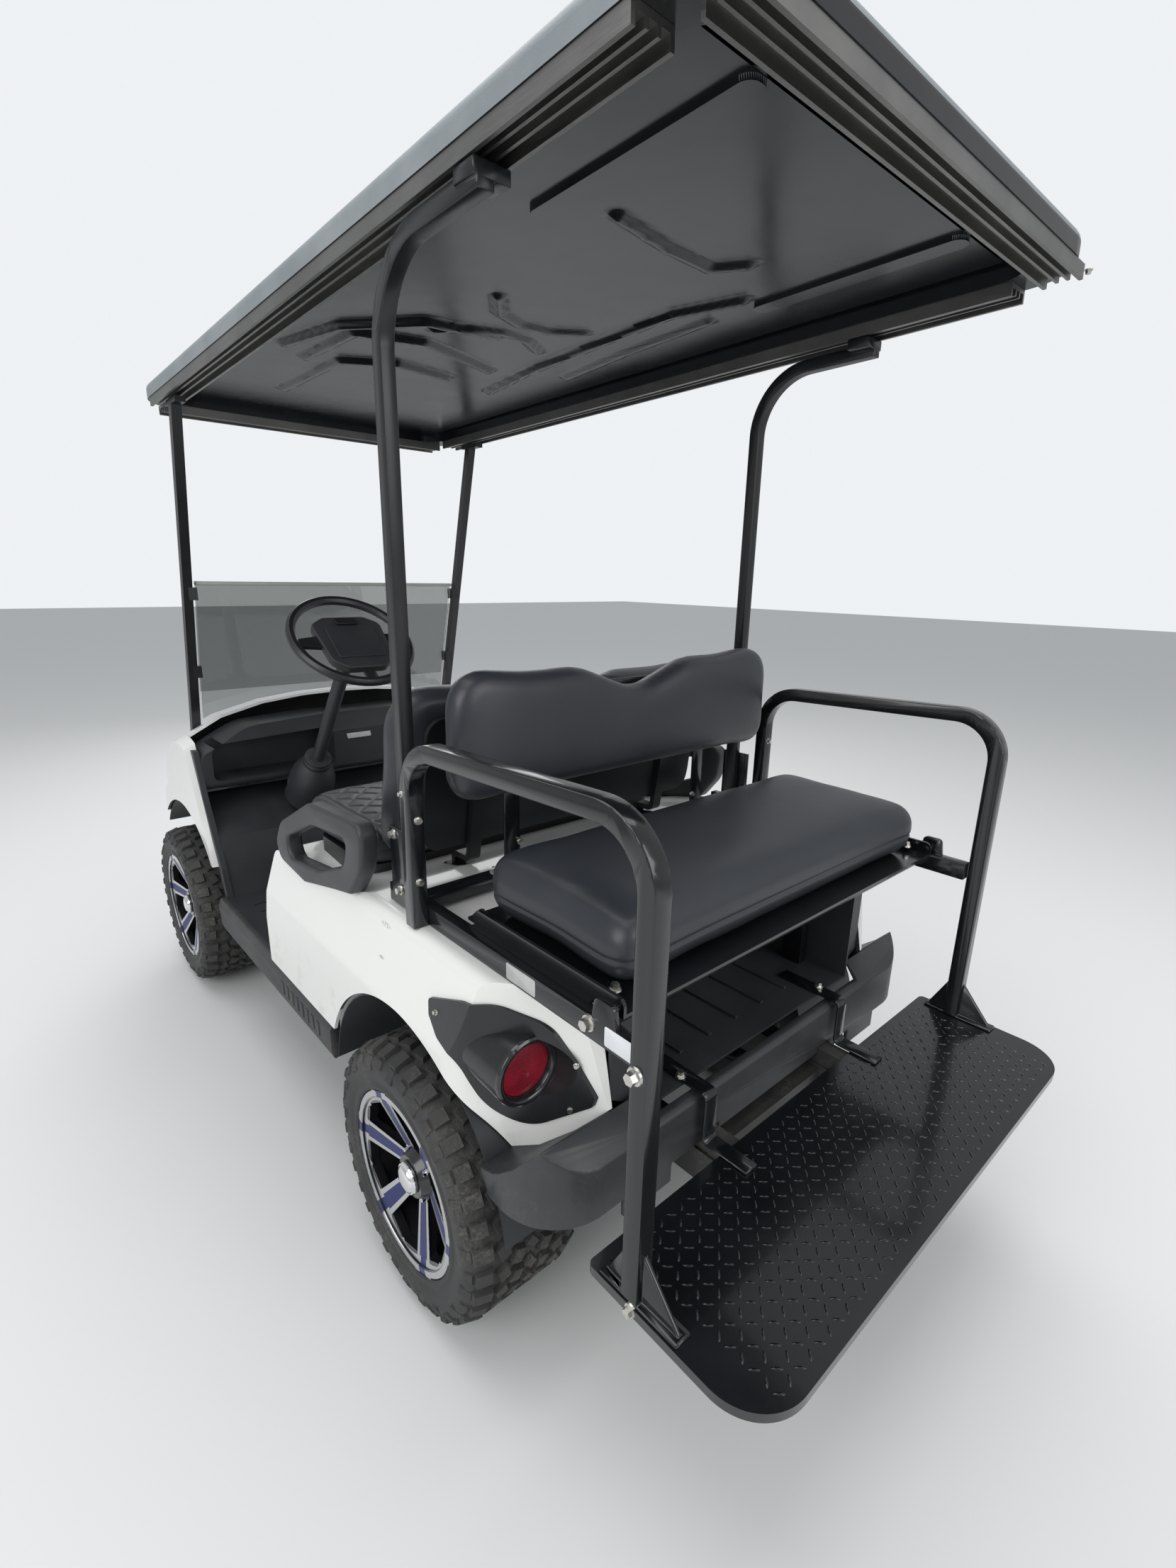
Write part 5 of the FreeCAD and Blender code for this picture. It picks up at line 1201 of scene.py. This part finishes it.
@dataclass
class Wheel:
    """One wheel's painted and machined faces, its cap and nuts, and its treaded tyre."""

    corner: Corner
    palette: Palette
    spokes: int = 6
    spoke_turn: float = 6.0
    spoke_gap: float = 4.2
    spoke_half: float = 19.5
    spoke_gain: float = 8.0
    painted: float = 0.6
    hub_radius: float = 54.0
    hub_face: float = 82.0
    dish_slope: float = 0.275
    lip_start: float = 173.0
    lip_face: float = 119.6
    nut_circle: float = 50.0
    nut_foot: float = 81.0
    nut_size: tuple[float, float, float] = (13, 13, 12)
    lip: float = 186.0
    blocks: int = 34
    sheet: float = 1.6
    tread_foot: float = 269.5
    tread_edge: float = 262.0
    tread_high: float = 11.6
    # each row of blocks: middle (mm out), width across, length round, turn (degrees), step share
    rows: tuple[tuple[float, float, float, float, float], ...] = (
        (0, 20, 30, 32, 0.0), (-31, 26, 33, -24, 0.5), (31, 26, 33, -24, 0.2),
        (-62, 26, 34, 18, 0.1), (62, 26, 34, 18, 0.6))

    def out(self, radius: float, angle: float, along: float) -> Vector:
        """Places a point from its radius, its angle in degrees and its distance outwards."""
        turn = math.radians(angle)
        return at(self.corner.ahead + radius * math.cos(turn),
                  self.corner.side * (TRACK_HALF + along),
                  HUB_Z + radius * math.sin(turn))

    def dish(self, radius: float) -> float:
        """Distance outwards of the rim's outer face at a radius."""
        if radius > self.lip_start:
            return self.lip_face
        return self.hub_face + self.dish_slope * (radius - self.hub_radius)

    def strip(self, form: bmesh.types.BMesh, rows: Sequence[tuple[float, float, float]],
              middle: float, lift: float, material: int) -> None:
        """Adds a strip over the dish from rows of radius, start and end across, in mm."""
        last = None
        for radius, start, end in rows:
            pair = [form.verts.new(self.out(math.hypot(radius, across),
                                            middle + math.degrees(math.atan2(across, radius)),
                                            self.dish(radius) + lift))
                    for across in (start, (start + end) / 2, end)]
            if last:
                for index in (0, 1):
                    face = form.faces.new((last[index], last[index + 1], pair[index + 1],
                                           pair[index]))
                    face.material_index = material
            last = pair

    def band(self, form: bmesh.types.BMesh, middle: float) -> None:
        """Adds the machined band outside one window, with its small tooth."""
        steps = 24
        reach = 180 / self.spokes - self.spoke_gap
        last = None
        for index in range(steps + 1):
            share = 2 * index / steps - 1
            tooth = 5.5 * max(0.0, 1 - abs(share) / 0.11)
            inner = 168.0 - 10.0 * share * share - tooth
            angle = middle + share * reach
            ring = [form.verts.new(self.out(radius, angle, self.dish(radius) + 0.9))
                    for radius in (inner, 172.5, 174.0, self.lip)]
            if last:
                for step in range(3):
                    face = form.faces.new((last[step], last[step + 1], ring[step + 1],
                                           ring[step]))
                    face.material_index = 1
            last = ring

    def faces(self) -> Mesh:
        """Builds the blue and machined faces over the rim as thin closed sheets."""
        form = bmesh.new()
        for index in range(self.spokes):
            middle = self.spoke_turn + index * 360 / self.spokes
            radii = (57, 90, 124, 156, 166, 172.5, 174, self.lip)
            half = [self.spoke_half + self.spoke_gain * (min(radius, 158) - 56) / 102
                    for radius in radii]
            flare = [0, 0, 0, 0, 2.5, 5, 5.5, 8]
            blue = [value * self.painted for value in half]
            self.strip(form, [(r, -b, b) for r, b in zip(radii, blue)], middle, 0.5, 0)
            for sign in (1, -1):
                rows = [(r, sign * b, sign * (h + f))
                        for r, b, h, f in zip(radii, blue, half, flare)]
                self.strip(form, rows, middle, 1.0, 1)
            self.band(form, middle + 180 / self.spokes)
        form.normal_update()
        for face in form.faces:
            if face.normal.y * self.corner.side < 0:
                face.normal_flip()
        return thickened("faces", plain_mesh("faces", form), self.sheet)

    def cap(self) -> Mesh:
        """Turns the chrome centre cap with its stepped rim."""
        section = [(0, 99), (33, 99), (34, 101), (34, 105), (32, 108), (28, 109), (26, 112),
                   (22, 114.5), (12, 116.5), (0, 117)]
        form = turned(section, self.out(0, 0, 0), Vector((0, self.corner.side, 0)), 36)
        mesh = from_bmesh("cap", form)
        for polygon in mesh.polygons:
            polygon.material_index = 2
        return mesh

    def trim(self) -> None:
        """Makes the rim's trim piece: painted and machined faces and the cap."""
        word = self.corner.word
        mesh = joined(f"rim_trim_{word}", [self.faces(), self.cap()])
        piece(f"rim_trim_{word}", mesh, f"wheel_{word}", "rim_alloy",
              self.palette["wheel_blue"], self.palette["machined_face"],
              self.palette["cap_chrome"], smooth=28.0)

    def nuts(self) -> None:
        """Sets the four wheel nuts round the cap."""
        word, side = self.corner.word, self.corner.side
        nuts = Repeats(f"rim_nuts_{word}", f"wheel_{word}", "rim_alloy", Stamp.HEX)
        for index in range(4):
            foot = self.out(self.nut_circle, self.spoke_turn + 45 + 90 * index, self.nut_foot)
            nuts.add(foot, frame_of(Vector((0, side, 0))), self.nut_size)
        nuts.build(self.palette["cap_chrome"])

    def carcass(self) -> Mesh:
        """Turns the tyre's body with its bulged walls, rim guards and rounded shoulders."""
        wall = [(178.6, 101.5), (184, 108), (188.5, 114), (189, 120.5), (193, 123.5),
                (199, 124), (203, 121.8), (209, 121.6), (214, 124.2), (226, 126.2),
                (239, 126.8), (249, 124.6), (257, 120.6), (264, 112), (268.5, 101), (270.5, 80)]
        section = wall + [(271, 0)] + [(r, -y) for r, y in reversed(wall)]
        form = turned(section, self.out(0, 0, 0), Vector((0, self.corner.side, 0)), 72)
        mesh = from_bmesh("carcass", form)
        for polygon in mesh.polygons:
            away = polygon.center - self.out(0, 0, 0)
            reach = math.hypot(away.x, away.z) * 1000
            polygon.material_index = 0 if reach > self.tread_edge else 1
        return mesh

    def tread(self) -> Mesh:
        """Stamps the tread blocks, the shoulder blocks and the ribs on the wall."""
        word, side = self.corner.word, self.corner.side
        rows = Repeats(f"tread_{word}", f"wheel_{word}", "tyre_rubber", Stamp.BLOCK)
        axle = Vector((0, side, 0))
        pitch = 360 / self.blocks
        for step in range(self.blocks):
            for middle, wide, long, turn, share in self.rows:
                angle = (step + share) * pitch
                foot = self.out(self.tread_foot, angle, middle)
                out = (foot - self.out(0, 0, middle)).normalized()
                along = Matrix.Rotation(math.radians(turn * side), 3, out) @ out.cross(axle)
                rows.add(foot, frame_of(out, along), (long, wide, self.tread_high))
            deep = step % 2 == 0
            for sign in (1, -1):
                angle = (step + (0.35 if sign > 0 else 0.85)) * pitch
                # a block on the shoulder and a rib on the wall under it
                for radius, reach, share, tilt, size in (
                        (263.0, 98, 1.0, 0.34, (31, 40 if deep else 33, 15.0)),
                        (247.0 if deep else 252.0, 119.5, 0.5, 1.0,
                         (24, 30 if deep else 20, 6.0))):
                    foot = self.out(radius, angle, sign * reach)
                    out = (foot - self.out(0, 0, sign * reach)).normalized()
                    lean = (out * share + axle * sign * tilt).normalized()
                    rows.add(foot, frame_of(lean, out.cross(axle)), size)
        return rows.mesh(self.palette["tyre_tread"])

    def tyre(self) -> None:
        """Makes the tyre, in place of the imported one, in its form."""
        word = self.corner.word
        tread = self.tread()
        tread.materials.clear()
        mesh = joined(f"tyre_{word}_rubber", [self.carcass(), tread])
        made = piece(f"tyre_{word}_rubber", mesh, f"wheel_{word}", "tyre_rubber",
                     self.palette["tyre_tread"], self.palette["tyre_sidewall"], smooth=32.0)
        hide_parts(f"tyre_{word}")

    def build(self) -> None:
        """Builds every piece of the wheel."""
        self.trim()
        self.nuts()
        self.tyre()


# Roof lining, fasteners, labels and treads


@dataclass
class RoofLining:
    """The moulded relief under the roof: soft ribs, arcs and shallow steps."""

    palette: Palette
    step: float = 9.0
    start: float = -456.0
    end: float = 1560.0
    half: float = 455.0
    skin: float = 1.2
    wall: float = 0.8
    slope: float = 1.5
    # each rib: its height in mm, its width in mm, then its points as (x, y) pairs
    ribs: tuple[tuple[float, float, tuple[tuple[float, float], ...]], ...] = (
        (13.0, 14, ((887, 379), (677, 327), (526, 193), (496, 20))),
        (12.0, 14, ((963, 298), (699, 282), (654, 121), (745, -128))),
        (12.0, 14, ((1310, 229), (929, 217), (857, 91), (883, -76))),
        (9.0, 13, ((300, 150), (372, 96), (404, 20), (392, -60), (344, -128))),
        (9.0, 13, ((566, 148), (498, 92), (470, 20), (480, -58), (528, -130))),
        (12.0, 13, ((928, -252), (666, -215), (363, -201), (123, -190), (-29, -240))),
        (10.0, 13, ((653, -332), (380, -300), (98, -282))),
        (10.0, 12, ((-104, 201), (-82, 59), (-77, -65), (-140, -111))))

    def ceiling(self, x: float) -> float:
        """Height of the roof's underside at a place along the cart."""
        return 2040 - (x + 586) * math.tan(math.radians(self.slope))

    def relief(self, x: float, y: float) -> float:
        """How far the lining stands down from the ceiling at a place, in mm."""
        spot = Vector((x, y))
        depth = self.skin
        for height, wide, points in self.ribs:
            nearest = 1e9
            for one, two in zip(points, points[1:]):
                a, b = Vector(one), Vector(two)
                run = b - a
                share = max(0.0, min(1.0, (spot - a).dot(run) / run.length_squared))
                nearest = min(nearest, (spot - a - run * share).length)
            depth = max(depth, self.skin + height * math.exp(-(nearest / wide) ** 4))
        return depth

    def build(self) -> None:
        """Makes the lining as a thin closed sheet under the roof."""
        form = bmesh.new()
        across = int(2 * self.half / self.step)
        along = int((self.end - self.start) / self.step)
        rows = []
        for i in range(along + 1):
            x = self.start + (self.end - self.start) * i / along
            rows.append([form.verts.new(at(x, y, self.ceiling(x) - self.relief(x, y)))
                         for y in (-self.half + 2 * self.half * j / across
                                   for j in range(across + 1))])
        for one, two in zip(rows, rows[1:]):
            for j in range(across):
                form.faces.new((one[j], one[j + 1], two[j + 1], two[j]))
        mesh = from_bmesh("roof_lining", form)
        if mesh.polygons[0].normal.z > 0:
            mesh.flip_normals()
        piece("roof_lining", thickened("roof_lining", mesh, self.wall), "root", "roof_black",
              self.palette["roof_underside"], smooth=40.0)


BOLTS = (
    # body, x, y, z, direction, head width (mm); those off the middle stand on both sides
    ("root", 136, 536, 966, (0, 1, 0), 15), ("root", 118, 536, 852, (0, 1, 0), 15),
    ("root", 42, 563, 1076, (0, 1, 0), 9), ("root", 19, 545, 1027, (-1, 0, 0), 12),
    ("root", 19, 547, 906, (-1, 0, 0), 12), ("root", 59, 356, 866, (-1, 0, 0), 13),
    ("root", 64, 282, 912, (-1, 0, 0), 11), ("root", -440, 531, 838, (0, 1, 0), 20),
    ("root", -566, 563, 838, (0, 1, 0), 20),
    ("root", -577, 563, 448, (0, 1, 0), 16), ("root", -101, 592, 708, (0, 1, 0.19), 8),
    ("root", -342, 468, 676, (-0.61, 0.79, 0), 8), ("root", -334, 474, 585, (-0.61, 0.79, 0), 8),
    ("rear_seat", -98, 488, 866, (0, 0, 1), 13), ("rear_seat", -433, 474, 866, (0, 0, 1), 15),
    ("root", -380, 240, 562, (0, 0, 1), 15), ("root", -586, 505, 2004, (0, 0, -1), 10))


@dataclass
class Fittings:
    """Bolts, blank labels, treads, lamp rings, armrests, arch liners and the wheel's pad."""

    palette: Palette
    dash_step: tuple[float, float] = (19.5, 24.5)
    arm_middle: float = 566.0
    arm_half: float = 20.0
    arm_edge: float = 9.0
    lamp_place: tuple[float, float, float] = (-280.0, 526.0, 660.0)
    arch_middle: tuple[float, float] = (45.0, 285.0)
    arch_radius: float = 350.0
    arch_wall: float = 2.5

    def bolts(self) -> None:
        """Sets the bolt heads of each body on both sides of the cart."""
        for body in sorted({row[0] for row in BOLTS}):
            heads = Repeats(f"bolts_{body}", body, "chassis_steel", Stamp.HEX,
                            spin=math.pi / 3)
            for owner, x, y, z, out, wide in BOLTS:
                if owner != body:
                    continue
                for side in Side:
                    facing = Vector((out[0], out[1] * side.value, out[2]))
                    heads.add(at(x, y * side.value, z), frame_of(facing),
                              (wide, wide, wide * 0.75))
            heads.build(self.palette["zinc_plate"])

    def treads(self) -> None:
        """Covers the footplate with short raised dashes."""
        plate = Repeats("footplate_tread", "root", "frame_black", Stamp.DASH)
        for row in range(15):
            for column in range(42):
                x = -512 - self.dash_step[0] * row
                y = (column - 20.5) * self.dash_step[1]
                turn = math.radians(45 if (row + column) % 2 else -45)
                along = Vector((math.cos(turn), math.sin(turn), 0))
                if abs(y) < 520 and x > -795:
                    plate.add(at(x, y, PLATE_TOP - 0.3),
                              frame_of(Vector((0, 0, 1)), along), (19, 5.0, 1.7))
        plate.build(self.palette["gloss_powder_coat"], smooth=50.0)

    def label(self, name: str, middle: Vector, turn: Matrix, wide: float, high: float,
              finish: str, slot: str) -> None:
        """Sticks one thin blank label on a face."""
        outline = rounded([(-wide / 2, -high / 2, 4), (wide / 2, -high / 2, 4),
                           (wide / 2, high / 2, 4), (-wide / 2, high / 2, 4)], 4)
        form = prism(outline, lambda u, v, w: middle + turn @ (Vector((u, v, w)) / 1000),
                     0.0, 0.9, 0.25, 2)
        piece(name, from_bmesh(name, form), "root", slot, self.palette[finish])

    def labels(self) -> None:
        """Adds the blank plate and the blank label on the side rail."""
        side = frame_of(Vector((0, 1, 0)), Vector((-1, 0, 0)))
        self.label("blank_plate", at(-273, BAR_FACE, 831), side, 78, 30, "silver_label",
                   "frame_black")
        self.label("blank_side_label", at(-515, BAR_FACE, 834), side, 84, 32, "blank_label",
                   "frame_black")

    def lamp_rings(self) -> None:
        """Adds the fat gloss ring round each tail lamp's lens."""
        section = [(49.6, -2), (63.5, -2), (64.5, 3), (63, 7), (59, 9.5), (54, 9), (50.5, 6),
                   (49.6, 3)]
        x, y, z = self.lamp_place
        for side in Side:
            form = turned(section, at(x, side.value * y, z), Vector((-1, 0, 0)), 64)
            piece(f"tail_ring_{side.word}", from_bmesh("ring", form), "root",
                  "black_plastic", self.palette["wheel_gloss_black"])

    def armrests(self) -> None:
        """Moulds the two armrest loops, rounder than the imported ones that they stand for."""
        outer = [(254, 806, 30), (346, 786, 40), (521, 744, 30), (668, 757, 40), (696, 800, 50),
                 (650, 864, 70), (456, 960, 110), (176, 980, 56), (194, 878, 80)]
        hole = [(282, 862, 44), (420, 806, 60), (598, 782, 34), (616, 832, 36), (446, 908, 70),
                (252, 930, 44)]
        for side in Side:
            curve = bpy.data.curves.new(f"armrest_{side.word}", "CURVE")
            curve.dimensions = "2D"
            curve.fill_mode = "BOTH"
            curve.extrude = (self.arm_half - self.arm_edge) / 1000
            curve.bevel_depth = self.arm_edge / 1000
            curve.bevel_resolution = 3
            curve.offset = -self.arm_edge / 1000
            for corners in (outer, hole):
                points = rounded(corners, 8)
                line = curve.splines.new("POLY")
                line.points.add(len(points) - 1)
                for point, (u, v) in zip(line.points, points):
                    point.co = (u / 1000, v / 1000, 0, 1)
                line.use_cyclic_u = True
            mesh = baked(stand("armrest", curve))
            mesh.materials.clear()
            form = bmesh.new()
            form.from_mesh(mesh)
            for vertex in form.verts:
                u, v, w = vertex.co * 1000
                vertex.co = at(u, side.value * (self.arm_middle + w), v)
            bmesh.ops.remove_doubles(form, verts=form.verts, dist=WELD)
            loop = piece(f"armrest_{side.word}", from_bmesh("armrest", form), "root",
                         "black_plastic", self.palette["bumper_moulding"], smooth=40.0)
            if side is Side.LEFT:
                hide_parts("armrests")

    def arch_liners(self) -> None:
        """Lines the rear wheel arches with their black inner shells."""
        for side in Side:
            form = bmesh.new()
            last = None
            for step in range(25):
                turn = math.radians(8 + 164 * step / 24)
                u = self.arch_middle[0] + self.arch_radius * math.cos(turn)
                v = self.arch_middle[1] + self.arch_radius * math.sin(turn)
                row = [form.verts.new(at(x, side.value * y, z))
                       for x, y, z in ((u, 588, v), (u, 334, v), (u, 334, min(v, 345)))]
                if last:
                    for one in (0, 1):
                        form.faces.new((last[one], last[one + 1], row[one + 1], row[one]))
                last = row
            bmesh.ops.remove_doubles(form, verts=form.verts, dist=WELD)
            bmesh.ops.dissolve_degenerate(form, edges=form.edges, dist=WELD)
            mesh = thickened("liner", from_bmesh("liner", form), self.arch_wall)
            piece(f"arch_liner_{side.word}", mesh, "root", "black_plastic",
                  self.palette["cabin_moulding"])

    def column_boot(self) -> None:
        """Turns the domed boot at the steering column's foot, cut off at the toe board."""
        lean = math.radians(COLUMN_LEAN)
        axis = Vector((math.cos(lean), 0, -math.sin(lean)))
        section = [(21, 548), (40, 548), (46, 554), (47, 566), (44, 571), (52, 582), (63, 600),
                   (72, 626), (77, 656), (79, 690), (79, 790), (21, 790)]
        form = turned(section, at(*COLUMN_TOP), axis, 48)
        bmesh.ops.recalc_face_normals(form, faces=form.faces)
        for spot, out in (((1491, 461, 684), (-0.46, 0, 0.89)),
                          ((1341, 470, 599), (-0.93, 0, 0.36))):
            whole = form.verts[:] + form.edges[:] + form.faces[:]
            cut = bmesh.ops.bisect_plane(form, geom=whole, plane_co=at(*spot), plane_no=out,
                                         clear_inner=True)
            lines = [part for part in cut["geom_cut"] if isinstance(part, bmesh.types.BMEdge)]
            bmesh.ops.holes_fill(form, edges=lines)
        piece("column_boot", from_bmesh("column_boot", form), "root", "black_plastic",
              self.palette["cabin_moulding"], smooth=50.0)

    def wheel_place(self, u: float, v: float, w: float) -> Vector:
        """Places a point of the steering wheel: u up its face, v left, w to the driver."""
        lean = math.radians(COLUMN_LEAN - 90)
        x, y, z = COLUMN_TOP
        return at(x + u * math.cos(lean) + w * math.sin(lean), y + v,
                  z - u * math.sin(lean) + w * math.cos(lean))

    def wheel_pad(self) -> None:
        """Adds the wide pad over the steering wheel's hub, its card holder and its clip."""
        shield = [(-122, -54, 24), (-90, -96, 34), (58, -106, 30), (86, -62, 24), (86, 62, 24),
                  (58, 106, 30), (-90, 96, 34), (-122, 54, 24)]
        card, clip = ([(low, -half, 10), (high, -half, 10), (high, half, 10), (low, half, 10)]
                      for low, high, half in ((-82, 42, 72), (48, 74, 34)))
        for name, corners, foot, top, edge, finish in (
                ("wheel_shield", shield, -13.0, 12.0, 5.0, "cabin_moulding"),
                ("wheel_card_pad", card, 11.0, 15.5, 1.6, "cabin_moulding"),
                ("wheel_card_clip", clip, 11.0, 20.0, 1.6, "satin_powder_coat")):
            form = prism(rounded(corners, 5), self.wheel_place, foot, top, edge, 3)
            piece(name, from_bmesh(name, form), "steering_wheel", "frame_black",
                  self.palette[finish])

    def pane_hinge(self) -> None:
        """Adds the pale vinyl hinge along the windshield's folded top edge."""
        corners = [(1550, 1408, 4), (1580, 1408, 4), (1580, 1420, 4), (1550, 1420, 4)]
        form = prism(rounded(corners, 4), lambda u, v, w: at(u, w, v), -478, 478, 1.0, 2)
        piece("pane_hinge", from_bmesh("pane_hinge", form), "root", "tinted_pane",
              self.palette["hinge_vinyl"])

    def dash_label(self) -> None:
        """Adds the blank label on the dash with its plain orange band."""
        turn = frame_of(Vector((-0.9, 0, 0.3)), Vector((0, -1, 0)))
        middle = at(1438.5, 15, 890)
        self.label("blank_dash_label", middle, turn, 92, 56, "silver_label", "black_plastic")
        rise = turn @ Vector((0, 0.0195, 0.0012))
        self.label("blank_dash_band", middle + rise, turn, 91, 15, "orange_label",
                   "black_plastic")

    def build(self) -> None:
        """Builds every fitting."""
        self.bolts()
        self.treads()
        self.labels()
        self.lamp_rings()
        self.armrests()
        self.arch_liners()
        self.column_boot()
        self.wheel_pad()
        self.pane_hinge()
        self.dash_label()


def main() -> None:
    """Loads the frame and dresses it."""
    logging.basicConfig(level=logging.INFO, format="%(name)s: %(message)s")
    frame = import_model()
    bpy.context.scene.view_settings.view_transform = "Standard"
    palette = Palette()
    dress_nodes(frame["nodes"], palette)
    soften(frame["nodes"], palette)
    Studio().build()
    for corner in Corner:
        Wheel(corner, palette).build()
    RoofLining(palette).build()
    Fittings(palette).build()
    Upholstery(palette).build()


if __name__ == "__main__":
    main()
